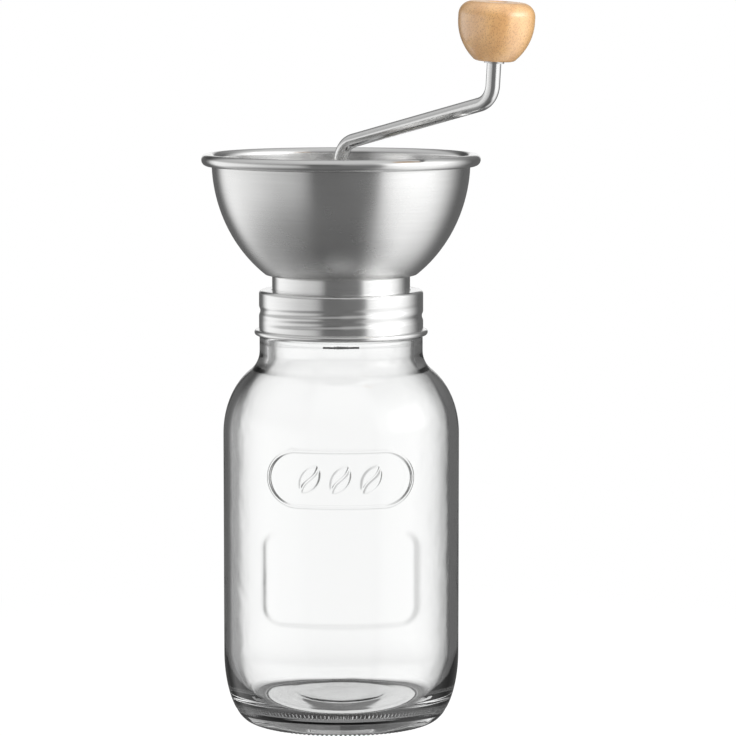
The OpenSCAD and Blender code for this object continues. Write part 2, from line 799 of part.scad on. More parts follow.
module crank_rod() {
    arm_angle = 90 - arm_slope;
    arm_start = lower_corner + lower_tangent * [cos(arm_slope), sin(arm_slope)];
    arm_len = arm_reach / cos(arm_slope) - lower_tangent - upper_tangent;
    arm_end = upper_corner - upper_tangent * [cos(arm_slope), sin(arm_slope)];
    upper_centre = arm_end + bend_r * [-sin(arm_slope), cos(arm_slope)];
    shaft_top = corner_z - lower_tangent;
    shoulder_s = -washer_t - face_play;
    bite = 0.5;
    color(polished)
        difference() {
            union() {
                rotate([0, 0, crank_azimuth]) {
                    translate([0, 0, carrier_top_z + 1])
                        cylinder(r = rod_r, h = shaft_top - carrier_top_z - 1 + bite);
                    bend([bend_r, shaft_top], 180 - arm_angle, arm_angle);
                    translate([arm_start[0], 0, arm_start[1]])
                        rotate([0, arm_angle, 0])
                            translate([0, 0, -bite])
                                cylinder(r = rod_r, h = arm_len + 2 * bite);
                    bend(upper_centre, -arm_angle, arm_angle - end_lean);
                    translate([0, 0, shaft_foot_z])
                        linear_extrude(height = carrier_top_z + 1 - shaft_foot_z)
                            double_d(0);
                }
                at_knob()
                    translate([0, 0, upper_tangent - end_len - bite])
                        cylinder(r = rod_r, h = end_len - upper_tangent + shoulder_s + bite);
                at_knob()
                    translate([0, 0, shoulder_s - 1])
                        cylinder(r = spindle_d / 2, h = knob_bush_l + 1 - shoulder_s);
            }
            at_knob()
                translate([0, 0, knob_bush_l - knob_screw_l - 1])
                    cylinder(r = knob_screw_d / 2 + press_gap, h = knob_screw_l + 2);
        }
}

module thrust_collar() {
    color(polished)
        rotate([0, 0, crank_azimuth])
            translate([0, 0, thrust_collar_z])
                difference() {
                    tube(thrust_collar_d / 2, rod_r + press_gap, thrust_collar_h);
                    translate([0, 0, thrust_collar_h / 2])
                        rotate([0, 90, 0])
                            cylinder(r = set_screw_d / 2 + press_gap, h = thrust_collar_d);
                }
}

module collar_set_screw() {
    start = rod_r + press_gap;
    socket_af = set_screw_d / 2;
    color(nylon)
        rotate([0, 0, crank_azimuth])
            translate([start, 0, thrust_collar_z + thrust_collar_h / 2])
                rotate([0, 90, 0])
                    difference() {
                        cylinder(r = set_screw_d / 2, h = thrust_collar_d / 2 - start);
                        translate([0, 0, thrust_collar_d / 2 - start - socket_af])
                            cylinder(r = socket_af / 2 / cos(30), h = socket_af + 1, $fn = 6);
                    }
}

module spring() {
    coil_r = (spring_d - wire_d) / 2;
    low = carrier_top_z + wire_d / 2;
    high = spring_top_z - wire_d / 2;
    per_turn = 24;
    sides = 8;
    steps = round(spring_turns * per_turn);
    points = [for (i = [0:steps])
        let (a = 360 * i / per_turn,
             z = low + (high - low) * max(0, min(1, (i / per_turn - 0.6) / (spring_turns - 1.2))))
        for (k = [0:sides - 1])
            let (b = 360 * (k + 0.5) / sides,
                 r = coil_r + wire_d / 2 * cos(b))
            [r * cos(a), r * sin(a), z + wire_d / 2 * sin(b)]];
    walls = [for (i = [0:steps - 1]) for (k = [0:sides - 1])
        let (a = sides * i + k, b = sides * i + (k + 1) % sides)
        each [[a, b, a + sides], [b, b + sides, a + sides]]];
    ends = [[for (k = [sides - 1:-1:0]) k], [for (k = [0:sides - 1]) sides * steps + k]];
    color(steel)
        polyhedron(points, concat(walls, ends), convexity = 10);
}

module burr_carrier() {
    color(nylon)
        difference() {
            union() {
                translate([0, 0, carrier_z])
                    cylinder(r = carrier_flange_d / 2, h = carrier_flange_t);
                translate([0, 0, carrier_z])
                    cylinder(r = carrier_af / 2 / cos(30), h = carrier_top_z - carrier_z, $fn = 6);
            }
            drive_bore(carrier_z, carrier_top_z);
        }
}

// The two-flat bore that slides on the shaft
module drive_bore(from_z, to_z) {
    rotate([0, 0, crank_azimuth])
        translate([0, 0, from_z - 1])
            linear_extrude(height = to_z - from_z + 2)
                double_d(run_fit);
}

module click_washer() {
    color(polished)
        difference() {
            translate([0, 0, click_z])
                cylinder(r = click_d / 2, h = washer_t);
            drive_bore(click_z, carrier_z);
            for (i = [0:11])
                rotate([0, 0, 30 * i])
                    translate([click_d / 2, 0, click_z - 1])
                        cylinder(r = 0.7, h = washer_t + 2);
        }
}

module adjusting_nut() {
    color(nylon)
        translate([0, 0, nut_z])
            difference() {
                union() {
                    cylinder(r = nut_d / 2, h = nut_h);
                    around(nut_lobes)
                        translate([nut_d / 2, 0, 0])
                            cylinder(r = lobe_d / 2, h = nut_h);
                }
                translate([0, 0, -1])
                    cylinder(r = shaft_bore_r, h = nut_h + 2);
            }
}

module knob() {
    wide_r = knob_d / 2;
    foot = [knob_foot_d / 2, 0];
    rise = knob_wide_z - 1;
    inset = wide_r - foot[0] - 1.3;
    flank_r = (rise * rise + inset * inset) / (2 * inset);
    color("burlywood")
        at_knob()
            difference() {
                rotate_extrude()
                    polygon(concat(
                        [[0, 0], foot, foot + [1, 0.35]],
                        arc([wide_r - flank_r, knob_wide_z], flank_r, flank_r, -asin(rise / flank_r), 0, 12),
                        arc([wide_r - knob_top_r, knob_h - knob_top_r], knob_top_r, knob_top_r, 0, 90, 10),
                        [[0, knob_h]]));
                translate([0, 0, -1])
                    cylinder(r = knob_bush_d / 2 + press_gap, h = knob_h);
                translate([0, 0, knob_bush_l])
                    cylinder(r = recess_d / 2, h = knob_h);
            }
}

module knob_bush() {
    color("goldenrod")
        at_knob()
            tube(knob_bush_d / 2, spindle_d / 2 + run_fit, knob_bush_l);
}

module knob_thrust_washer() {
    color(polished)
        at_knob()
            translate([0, 0, -washer_t - face_play])
                tube(rod_r + 1.2, spindle_d / 2 + run_fit, washer_t);
}

module knob_screw_washer() {
    color(polished)
        at_knob()
            translate([0, 0, knob_bush_l + face_play])
                tube(recess_d / 2 - free_gap, knob_screw_d / 2 + run_fit, washer_t);
}

module knob_screw() {
    color(nylon)
        at_knob()
            translate([0, 0, knob_bush_l + face_play + washer_t])
                rotate([180, 0, 0])
                    screw(knob_screw_d, recess_d - 4 * free_gap, 1.6, knob_screw_l);
}

glass_jar();
screw_band();
hopper_bowl();
collar();
seal_ring();
burr_housing();
outer_burr();
burr_retainer();
retainer_screws();
bridge();
shaft_bush();
clamp_screws();
clamp_nuts();
thrust_washer();
spring_washer();
crank_rod();
thrust_collar();
collar_set_screw();
spring();
knob_thrust_washer();
knob_screw();
knob_screw_washer();
burr_carrier();
inner_burr();
click_washer();
adjusting_nut();
knob();
knob_bush();
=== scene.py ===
"""Looks for a hand crank coffee grinder: a spun steel hopper and a rod crank on a glass preserve jar."""

import json
import logging
import math
from dataclasses import dataclass
from enum import Enum
from functools import reduce
from typing import Callable

import bmesh
import bpy
from mathutils import Matrix, Vector


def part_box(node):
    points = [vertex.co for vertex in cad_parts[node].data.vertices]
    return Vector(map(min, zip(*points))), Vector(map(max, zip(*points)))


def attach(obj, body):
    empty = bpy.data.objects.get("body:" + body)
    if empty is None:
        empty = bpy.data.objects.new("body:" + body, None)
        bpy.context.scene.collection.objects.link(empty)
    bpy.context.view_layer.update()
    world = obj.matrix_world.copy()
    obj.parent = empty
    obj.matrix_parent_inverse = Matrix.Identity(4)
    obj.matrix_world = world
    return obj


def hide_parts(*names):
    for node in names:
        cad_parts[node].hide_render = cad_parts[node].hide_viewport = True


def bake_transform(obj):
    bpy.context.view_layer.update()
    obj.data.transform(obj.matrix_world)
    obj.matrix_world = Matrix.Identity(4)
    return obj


log = logging.getLogger("grinder")
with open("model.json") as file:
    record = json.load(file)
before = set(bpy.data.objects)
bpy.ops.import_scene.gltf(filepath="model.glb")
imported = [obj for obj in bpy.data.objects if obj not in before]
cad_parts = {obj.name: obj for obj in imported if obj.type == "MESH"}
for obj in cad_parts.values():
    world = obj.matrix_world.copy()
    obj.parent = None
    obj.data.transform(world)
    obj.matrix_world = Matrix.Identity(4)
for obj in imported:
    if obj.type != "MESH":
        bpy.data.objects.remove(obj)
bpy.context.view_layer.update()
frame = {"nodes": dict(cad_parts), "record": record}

Socket = bpy.types.NodeSocket
Material = bpy.types.Material
Pair = tuple[float, float]
Triple = tuple[float, float, float]


def ease(t: float) -> float:
    """Smooth step from 0 to 1 for a share of the way, which is kept between 0 and 1."""
    t = min(1.0, max(0.0, t))
    return t * t * (3 - 2 * t)


def bearing(p: Vector) -> float:
    """Direction of a point from the Z axis in radians, counted from the front towards the right."""
    return math.atan2(p.x, -p.y)


def reach(p: Vector) -> float:
    """Distance of a point from the Z axis."""
    return math.hypot(p.x, p.y)


def rgba(colour: Triple, change: float = 1.0) -> tuple[float, ...]:
    """A colour made lighter or darker, as a socket takes it."""
    return tuple(min(1.0, part * change) for part in colour) + (1,)


def tone(value: float) -> tuple[float, ...]:
    """A plain grey, as a socket takes it."""
    return (value, value, value, 1)


# ---------------------------------------------------------------- shading


class NodeBook:
    """Adds and joins the nodes of one node tree."""

    def __init__(self, tree: bpy.types.NodeTree) -> None:
        """Starts on a tree, keeping what is in it."""
        self.tree = tree

    def fit(self, node: bpy.types.Node, **sockets: object) -> bpy.types.Node:
        """Links or sets a node's inputs.

        Args:
            node: The node.
            **sockets: Sockets or values by the input's name, with _ for a space, or by i and its number.

        Returns:
            The same node.
        """
        for key, value in sockets.items():
            slot = node.inputs[int(key[1:]) if key[0] == "i" and key[1:].isdigit() else key.replace("_", " ")]
            if isinstance(value, Socket):
                self.tree.links.new(value, slot)
            else:
                slot.default_value = value
        return node

    def add(self, kind: str, settings: dict[str, object] | None = None, **sockets: object) -> bpy.types.Node:
        """Adds one node.

        Args:
            kind: The node's type name, without its ShaderNode prefix.
            settings: Values for the node's own properties.
            **sockets: Its inputs, as in fit.

        Returns:
            The new node.
        """
        node = self.tree.nodes.new("ShaderNode" + kind)
        for key, value in (settings or {}).items():
            setattr(node, key, value)
        return self.fit(node, **sockets)

    def place(self) -> Socket:
        """Gives the Object coordinates."""
        return self.add("TexCoord").outputs["Object"]

    def math(self, operation: str, a: object, b: object = 0.0, c: object = 0.0) -> Socket:
        """Adds a Math node with up to three inputs."""
        return self.add("Math", {"operation": operation}, i0=a, i1=b, i2=c).outputs[0]

    def product(self, first: Socket, *others: object) -> Socket:
        """Multiplies numbers in their order."""
        return reduce(lambda a, b: self.math("MULTIPLY", a, b), others, first)

    def ramp(self, factor: Socket, low: float, high: float, to_low: float = 0.0, to_high: float = 1.0) -> Socket:
        """Adds a Map Range node with soft ends, which gives to_low at low and to_high at high."""
        return self.add("MapRange", {"interpolation_type": "SMOOTHSTEP"}, Value=factor, From_Min=low,
                        From_Max=high, To_Min=to_low, To_Max=to_high).outputs["Result"]

    def blend(self, factor: object, a: object, b: object) -> Socket:
        """Mixes two colours by the share of the second one."""
        return self.add("Mix", {"data_type": "RGBA"}, i0=factor, i6=a, i7=b).outputs[2]

    def layer(self, share: Socket, first: Socket, second: Socket) -> Socket:
        """Mixes two shaders by the share of the second one."""
        return self.add("MixShader", i0=share, i1=first, i2=second).outputs[0]

    def vector(self, operation: str, a: Socket, b: object = (0.0, 0.0, 0.0)) -> bpy.types.Node:
        """Adds a Vector Math node with up to two inputs."""
        return self.add("VectorMath", {"operation": operation}, i0=a, i1=b)

    def grey(self, value: Socket) -> Socket:
        """Makes a grey colour of a number."""
        return self.add("CombineXYZ", X=value, Y=value, Z=value).outputs[0]

    def noise(self, vector: Socket, scale: object, detail: float, roughness: float, warp: float = 0.0) -> Socket:
        """Adds a Noise Texture, with its distortion as warp."""
        return self.add("TexNoise", Vector=vector, Scale=scale, Detail=detail, Roughness=roughness,
                        Distortion=warp).outputs["Fac"]

    def bump(self, strength: float, depth: float, height: Socket) -> Socket:
        """Turns a height into a normal."""
        return self.add("Bump", Strength=strength, Distance=depth, Height=height).outputs[0]

    def stops(self, share: Socket, table: tuple[Pair, ...], span: float) -> Socket:
        """Looks a brightness up in a table.

        Args:
            share: The value to look up, from 0 to 1 over the table's span.
            table: Place and brightness of each stop, in order.
            span: The span of the table's places, with 0 in its middle.

        Returns:
            The result's socket.
        """
        node = self.add("ValToRGB", Fac=share)
        elements = node.color_ramp.elements
        for place, _ in table[2:]:
            elements.new(place / span + 0.5)
        for element, (place, value) in zip(elements, table):
            element.position = place / span + 0.5
            element.color = tone(value)
        return node.outputs["Color"]


class Effect(Enum):
    """The effects that several finishes share as node groups, with their inputs and outputs."""

    SPUN_GRAIN = ({"Density": 2600.0, "Length": 1.6}, ("Lines", "Bands"))
    SOFT_MARKS = ({"Scale": 40.0, "Speck Scale": 900.0}, ("Marks", "Specks"))

    def tree(self) -> bpy.types.NodeTree:
        """Builds the group, or finds it when it is there.

        Returns:
            The group's tree.
        """
        name = self.name.lower()
        if name in bpy.data.node_groups:
            return bpy.data.node_groups[name]
        tree = bpy.data.node_groups.new(name, "ShaderNodeTree")
        ins, outs = self.value
        for key, value in ins.items():
            tree.interface.new_socket(key, in_out="INPUT", socket_type="NodeSocketFloat").default_value = value
        for key in outs:
            tree.interface.new_socket(key, in_out="OUTPUT", socket_type="NodeSocketFloat")
        source, sink = tree.nodes.new("NodeGroupInput").outputs, tree.nodes.new("NodeGroupOutput")
        fill = spun_grain if self is Effect.SPUN_GRAIN else soft_marks
        fill(NodeBook(tree), source, sink)
        return tree

    def use(self, book: NodeBook, **values: float) -> bpy.types.NodeOutputs:
        """Places the effect in a material, with its own input values."""
        return book.add("Group", {"node_tree": self.tree()}, **values).outputs


def spun_grain(book: NodeBook, ins: bpy.types.NodeOutputs, sink: bpy.types.Node) -> None:
    """Draws fine lines that run round Z, as on spun and turned metal, and broad bands of them.

    Args:
        book: The group's book.
        ins: The group's inputs.
        sink: The group's output node.
    """
    place = book.place()
    parts = book.add("SeparateXYZ", Vector=place).outputs
    flat = book.add("CombineXYZ", X=parts[0], Y=parts[1]).outputs[0]
    radius = book.vector("LENGTH", flat).outputs["Value"]
    turn = book.add("SeparateXYZ", Vector=book.vector("NORMALIZE", flat).outputs[0]).outputs
    along = book.math("ADD", radius, parts[2])
    for key, share in (("Lines", 1.0), ("Bands", 0.16)):
        line = book.math("MULTIPLY", along, book.math("MULTIPLY", ins["Density"], share))
        spot = book.add("CombineXYZ", X=book.math("MULTIPLY", turn[0], ins["Length"]),
                        Y=book.math("MULTIPLY", turn[1], ins["Length"]), Z=line)
        book.fit(sink, **{key: book.noise(spot.outputs[0], 1.0, 3.0, 0.6)})


def soft_marks(book: NodeBook, ins: bpy.types.NodeOutputs, sink: bpy.types.Node) -> None:
    """Draws broad handling marks and small specks.

    Args:
        book: The group's book.
        ins: The group's inputs.
        sink: The group's output node.
    """
    place = book.place()
    broad = book.noise(place, ins["Scale"], 4.0, 0.55, 0.6)
    fine = book.noise(place, ins["Speck Scale"], 2.0, 0.5)
    book.fit(sink, Marks=book.ramp(broad, 0.35, 0.7), Specks=book.ramp(fine, 0.45, 0.75))


def principled(name: str) -> tuple[Material, NodeBook, bpy.types.Node]:
    """Starts a material.

    Args:
        name: The material's name.

    Returns:
        The material, its book and its Principled BSDF.
    """
    material = bpy.data.materials.new(name)
    material.use_nodes = True
    shader = next(n for n in material.node_tree.nodes if n.type == "BSDF_PRINCIPLED")
    return material, NodeBook(material.node_tree), shader


class Grain(Enum):
    """The way in which a metal was worked."""

    SPUN = "spun"
    DRAWN = "drawn"


@dataclass(frozen=True)
class Steel:
    """A worked metal, whose part above a height may be shinier."""

    name: str
    colour: Triple
    roughness: float
    grain: Grain = Grain.DRAWN
    anisotropy: float = 0.0
    relief: float = 0.000004
    density: float = 2600.0
    streaks: float = 0.03
    shiny_from: float = 0.0
    shine: float = 0.0

    def material(self) -> Material:
        """Builds the material.

        Returns:
            A metal with fine worked lines and faint handling marks.
        """
        material, book, shader = principled(self.name)
        marks = Effect.SOFT_MARKS.use(book, Scale=34.0, Speck_Scale=1500.0)
        fine = broad = marks["Specks"]
        if self.grain is Grain.SPUN:
            lines = Effect.SPUN_GRAIN.use(book, Density=self.density, Length=1.6)
            fine, broad = lines["Lines"], lines["Bands"]
            tangent = book.add("Tangent", {"direction_type": "RADIAL", "axis": "Z"}).outputs[0]
            book.fit(shader, Anisotropic=self.anisotropy, Anisotropic_Rotation=0.25, Tangent=tangent)
        worn = book.ramp(book.product(book.math("ADD", fine, broad), 0.5), 0.3, 0.7)
        rough = book.math("MULTIPLY_ADD", marks["Marks"], 0.05, self.roughness - 0.02)
        if self.shine:
            height = book.add("SeparateXYZ", Vector=book.place()).outputs[2]
            rough = book.math("SUBTRACT", rough,
                              book.ramp(height, self.shiny_from, self.shiny_from + 0.002, 0.0, self.shine))
        book.fit(shader, Base_Color=book.blend(worn, rgba(self.colour, 1 - self.streaks),
                                               rgba(self.colour, 1 + self.streaks)),
                 Roughness=book.math("MULTIPLY_ADD", fine, 0.04, rough), Metallic=1.0,
                 Normal=book.bump(0.3, self.relief, broad))
        return material


@dataclass(frozen=True)
class Glass:
    """Clear moulded glass with a faint ripple."""

    name: str = "clear_glass"
    colour: Triple = (0.988, 0.991, 0.989)
    ior: float = 1.5
    ripple_scale: float = 55.0
    ripple: float = 0.0004

    def material(self) -> Material:
        """Builds the material.

        Returns:
            A clear glass with the ripple of a moulded surface.
        """
        material, book, shader = principled(self.name)
        ripple = book.noise(book.place(), self.ripple_scale, 2.0, 0.45, 0.4)
        book.fit(shader, Base_Color=rgba(self.colour), Roughness=0.0, IOR=self.ior, Transmission_Weight=1.0,
                 Normal=book.bump(0.25, self.ripple, ripple))
        return material


@dataclass(frozen=True)
class Beech:
    """Turned beech under a clear coat, with its grain along a piece's own axis."""

    name: str = "beech"
    pale: Triple = (0.86, 0.49, 0.175)
    deep: Triple = (0.72, 0.37, 0.115)
    fleck: Triple = (0.40, 0.18, 0.05)
    lean: Triple = (0.0, math.radians(22), 0.0)
    centre: Triple = (0.0, 0.0, 0.0)
    growth_scale: Triple = (60.0, 34.0, 7.0)
    fleck_scale: Triple = (2100.0, 2100.0, 1000.0)
    fibre_scale: Triple = (4200.0, 4200.0, 240.0)
    fleck_strength: float = 0.62
    streak_strength: float = 0.34
    grain_depth: float = 0.00004
    coat_ior: float = 2.3
    coat_roughness: float = 0.27

    def material(self) -> Material:
        """Builds the material.

        Returns:
            Wood with soft growth bands and short dark flecks along the grain.
        """
        material, book, shader = principled(self.name)
        turned = book.add("Mapping", {"vector_type": "TEXTURE"}, Vector=book.place(), Location=self.centre,
                          Rotation=self.lean).outputs[0]
        growing, short, fibres = (book.add("Mapping", Vector=turned, Scale=scale).outputs[0]
                                  for scale in (self.growth_scale, self.fleck_scale, self.fibre_scale))
        growth = book.ramp(book.noise(growing, 3.0, 3.0, 0.55, 0.5), 0.32, 0.68)
        cells = book.add("TexVoronoi", {"feature": "F1"}, Vector=short, Scale=1.0, Randomness=1.0)
        parts = book.add("SeparateColor", Color=cells.outputs["Color"]).outputs
        flecks = book.product(book.ramp(cells.outputs["Distance"], 0.2, 0.55, 1.0, 0.0),
                              book.ramp(parts[0], 0.0, 0.5))
        fibre = book.noise(fibres, 1.0, 2.0, 0.6)
        body = book.blend(growth, rgba(self.deep), rgba(self.pale))
        streaked = book.blend(book.ramp(fibre, 0.5, 0.78, 0.0, self.streak_strength), body, rgba(self.deep))
        colour = book.blend(book.product(flecks, self.fleck_strength), streaked, rgba(self.fleck))
        book.fit(shader, Base_Color=colour, Roughness=book.math("MULTIPLY_ADD", flecks, 0.12, 0.42),
                 Specular_IOR_Level=0.8, Coat_Weight=1.0, Coat_IOR=self.coat_ior,
                 Coat_Roughness=self.coat_roughness,
                 Normal=book.bump(0.35, self.grain_depth, book.math("SUBTRACT", fibre, flecks)))
        return material


@dataclass(frozen=True)
class Moulded:
    """A dull body colour with a fine skin: nylon, ceramic, silicone or sintered bronze."""

    name: str
    colour: Triple
    roughness: float
    metal: float = 0.0
    skin: float = 0.00003
    speck_scale: float = 1400.0
    spread: float = 0.12

    def material(self) -> Material:
        """Builds the material.

        Returns:
            A finely textured body with slight changes of tone.
        """
        material, book, shader = principled(self.name)
        marks = Effect.SOFT_MARKS.use(book, Scale=60.0, Speck_Scale=self.speck_scale)
        shade = book.math("MULTIPLY_ADD", marks["Specks"], 0.5, book.product(marks["Marks"], 0.5))
        book.fit(shader, Base_Color=book.blend(shade, rgba(self.colour, 1 - self.spread),
                                               rgba(self.colour, 1 + self.spread)),
                 Roughness=book.math("MULTIPLY_ADD", marks["Marks"], 0.08, self.roughness), Metallic=self.metal,
                 Normal=book.bump(0.4, self.skin, marks["Specks"]))
        return material


@dataclass(frozen=True)
class Finishes:
    """Every finish on the grinder, by the record's material slot."""

    brushed_steel: Steel = Steel("hopper_steel", (0.80, 0.80, 0.795), 0.235, Grain.SPUN, 0.85, density=3600.0,
                                 streaks=0.025, shiny_from=0.2405, shine=0.09)
    satin_steel: Steel = Steel("band_steel", (0.86, 0.86, 0.855), 0.18, Grain.SPUN, 0.7, density=3800.0)
    polished_steel: Steel = Steel("rod_steel", (0.86, 0.86, 0.855), 0.14, relief=0.000001)
    zinc_steel: Steel = Steel("screw_steel", (0.72, 0.73, 0.74), 0.26)
    spring_steel: Steel = Steel("spring_wire", (0.58, 0.59, 0.60), 0.30)
    black_steel: Steel = Steel("black_steel", (0.05, 0.05, 0.052), 0.38)
    bronze: Moulded = Moulded("sintered_bronze", (0.62, 0.43, 0.20), 0.42, 1.0, 0.00003, 2200.0, 0.18)
    nylon: Moulded = Moulded("black_nylon", (0.035, 0.035, 0.037), 0.42)
    ceramic: Moulded = Moulded("burr_ceramic", (0.82, 0.80, 0.74), 0.38, 0.0, 0.00002, 1800.0, 0.05)
    seal: Moulded = Moulded("seal_silicone", (0.80, 0.80, 0.78), 0.5, 0.0, 0.00001, 900.0, 0.04)
    glass: Glass = Glass()
    wood: Beech = Beech()


class Palette:
    """Materials by the record's slot, each built when it is first asked for."""

    def __init__(self, finishes: Finishes) -> None:
        """Keeps the finishes to build from."""
        self.finishes = finishes
        self.built: dict[str, Material] = {}

    def __getitem__(self, slot: str) -> Material:
        """Gives a slot's material.

        Args:
            slot: The record's slot name.

        Returns:
            The slot's material.
        """
        if slot not in self.built:
            self.built[slot] = getattr(self.finishes, slot).material()
        return self.built[slot]


# ---------------------------------------------------------------- shapes


class Outline:
    """A chain of vertices in the XZ plane, grown from its last one, to be spun round Z."""

    def __init__(self, x: float, z: float) -> None:
        """Starts the chain at one point."""
        self.mesh = bmesh.new()
        self.first = self.last = self.mesh.verts.new((x, 0, z))

    def line(self, x: float, z: float, steps: int = 1) -> "Outline":
        """Runs straight to a point.

        Args:
            x: Radius of the end.
            z: Height of the end.
            steps: Number of edges.

        Returns:
            The outline itself.
        """
        stride = (Vector((x, 0, z)) - self.last.co) / steps
        for _ in range(steps):
            self.last = bmesh.ops.extrude_vert_indiv(self.mesh, verts=[self.last])["verts"][0]
            bmesh.ops.translate(self.mesh, verts=[self.last], vec=stride)
        return self

    def arc(self, centre: Pair, radii: Pair, start: float, end: float, steps: int) -> "Outline":
        """Runs along an arc of a circle or an ellipse, joined to the chain by a straight edge.

        Args:
            centre: Radius and height of the centre.
            radii: Half axes along X and Z.
            start: Start angle in degrees, from +X towards +Z.
            end: End angle in degrees.
            steps: Number of edges.

        Returns:
            The outline itself.
        """
        middle = Vector((centre[0], 0, centre[1]))
        old = set(self.mesh.verts)
        angle = math.radians(start)
        head = self.mesh.verts.new(middle + radii[0] * Vector((math.cos(angle), 0, math.sin(angle))))
        made = bmesh.ops.spin(self.mesh, geom=[head], cent=middle, axis=(0, -1, 0),
                              angle=math.radians(end - start), steps=steps)
        tail = next(v for v in made["geom_last"] if isinstance(v, bmesh.types.BMVert))
        bmesh.ops.scale(self.mesh, verts=[v for v in self.mesh.verts if v not in old],
                        vec=(1, 1, radii[1] / radii[0]), space=Matrix.Translation(-middle))
        self.mesh.edges.new((self.last, head))
        self.last = tail
        return self

    def spun(self, steps: int, closed: bool = True) -> bmesh.types.BMesh:
        """Spins the chain round Z into a surface.

        Args:
            steps: Number of columns.
            closed: Whether the chain's ends are joined first.

        Returns:
            The mesh, with its doubles merged and its faces pointing outwards.
        """
        if closed:
            self.mesh.edges.new((self.last, self.first))
        bmesh.ops.remove_doubles(self.mesh, verts=self.mesh.verts[:], dist=1e-7)
        bmesh.ops.spin(self.mesh, geom=self.mesh.verts[:] + self.mesh.edges[:], cent=(0, 0, 0), axis=(0, 0, 1),
                       angle=2 * math.pi, steps=steps, use_merge=True, use_duplicate=False)
        bmesh.ops.remove_doubles(self.mesh, verts=self.mesh.verts[:], dist=1e-7)
        bmesh.ops.recalc_face_normals(self.mesh, faces=self.mesh.faces[:])
        return self.mesh


class Bar:
    """A round bar or wire that grows from its last ring of edges."""

    def __init__(self, radius: float, sides: int, place: Matrix) -> None:
        """Starts with one open ring in the XY plane of a place."""
        self.mesh = bmesh.new()
        self.radius = radius
        bmesh.ops.create_circle(self.mesh, cap_ends=False, segments=sides, radius=radius, matrix=place)
        self.ring = self.mesh.edges[:]

    def grow(self) -> list[bmesh.types.BMVert]:
        """Adds a new ring on the spot of the last one.

        Returns:
            The new ring's vertices.
        """
        made = bmesh.ops.extrude_edge_only(self.mesh, edges=self.ring)["geom"]
        verts = [g for g in made if isinstance(g, bmesh.types.BMVert)]
        self.ring = [g for g in made if isinstance(g, bmesh.types.BMEdge) and all(v in verts for v in g.verts)]
        return verts

    def push(self, path: Vector, steps: int) -> None:
        """Draws the bar out straight, in a number of steps."""
        for _ in range(steps):
            bmesh.ops.translate(self.mesh, verts=self.grow(), vec=path / steps)

    def bend(self, centre: Vector, axis: Triple, angle: float, steps: int, climb: float = 0.0) -> None:
        """Draws the bar out round an axis.

        Args:
            centre: A point on the axis.
            axis: The axis's direction.
            angle: The angle in radians.
            steps: Number of steps.
            climb: Height that the bar gains on the way.
        """
        made = bmesh.ops.spin(self.mesh, geom=self.ring, cent=centre, axis=axis, dvec=(0, 0, climb / steps),
                              angle=angle, steps=steps)
        self.ring = [g for g in made["geom_last"] if isinstance(g, bmesh.types.BMEdge)]

    def step_in(self, radius: float, centre: Vector) -> None:
        """Narrows the bar round a point on its axis in one sharp step."""
        bmesh.ops.scale(self.mesh, verts=self.grow(), vec=(radius / self.radius,) * 3,
                        space=Matrix.Translation(-centre))

    def go_back(self) -> None:
        """Closes the last ring and goes on from the first one."""
        bmesh.ops.holes_fill(self.mesh, edges=self.ring, sides=0)
        self.ring = [e for e in self.mesh.edges if e.is_boundary]

    def close(self) -> bmesh.types.BMesh:
        """Closes the ends that are open.

        Returns:
            The mesh, with its faces pointing outwards.
        """
        bmesh.ops.holes_fill(self.mesh, edges=self.mesh.edges[:], sides=0)
        bmesh.ops.recalc_face_normals(self.mesh, faces=self.mesh.faces[:])
        return self.mesh


@dataclass(frozen=True)
class Thread:
    """A screw thread that climbs towards the right, raised or sunk."""

    z: float
    start: float
    end: float
    size: float
    half: float
    flank: float
    lead: float = 0.0045
    soft_ends: bool = False

    def level(self, p: Vector) -> float:
        """Finds how far the thread stands off the plain wall.

        Args:
            p: A point of the wall.

        Returns:
            The height or depth, 0 beside the thread.
        """
        level = 0.0
        for lap in range(-2, 1):
            turn = bearing(p) / math.tau + lap
            if self.start <= turn <= self.end:
                fade = min(1.0, (turn - self.start) * 6, (self.end - turn) * 6)
                if self.soft_ends:
                    fade = ease(fade)
                off = abs(p.z - (self.z + self.lead * turn))
                level = max(level, self.size * fade * ease((self.half - off) / self.flank))
        return level


def set_radius(v: bmesh.types.BMVert, radius: float) -> None:
    """Moves a vertex straight in or out to a distance from the Z axis."""
    scale = radius / reach(v.co)
    v.co = (v.co.x * scale, v.co.y * scale, v.co.z)


def place_object(name: str, data: bpy.types.ID) -> bpy.types.Object:
    """Adds an object to the scene.

    Args:
        name: The object's name.
        data: Its mesh, lamp or camera.

    Returns:
        The object.
    """
    obj = bpy.data.objects.new(name, data)
    bpy.context.scene.collection.objects.link(obj)
    return obj


def piece(name: str, mesh: bmesh.types.BMesh, body: str | None, slot: str, palette: Palette, node: str,
          crease: float = 50.0) -> bpy.types.Object:
    """Makes an object of a finished bmesh, dresses it and fixes it to its body.

    Args:
        name: The piece's name.
        mesh: The finished bmesh, which is freed.
        body: The body that it rides on, or None for a piece that bends between two.
        slot: The record's slot of its finish.
        palette: The materials.
        node: The CAD node that it stands for.
        crease: Angle in degrees past which an edge stays sharp.

    Returns:
        The object.
    """
    data = bpy.data.meshes.new(name)
    mesh.to_mesh(data)
    mesh.free()
    data.shade_smooth()
    data.set_sharp_from_angle(angle=math.radians(crease))
    data.materials.append(palette[slot])
    obj = place_object(name, data)
    if body is not None:
        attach(obj, body)
    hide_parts(node)
    log.info("%s: %d faces for %s", name, len(data.polygons), node)
    return obj


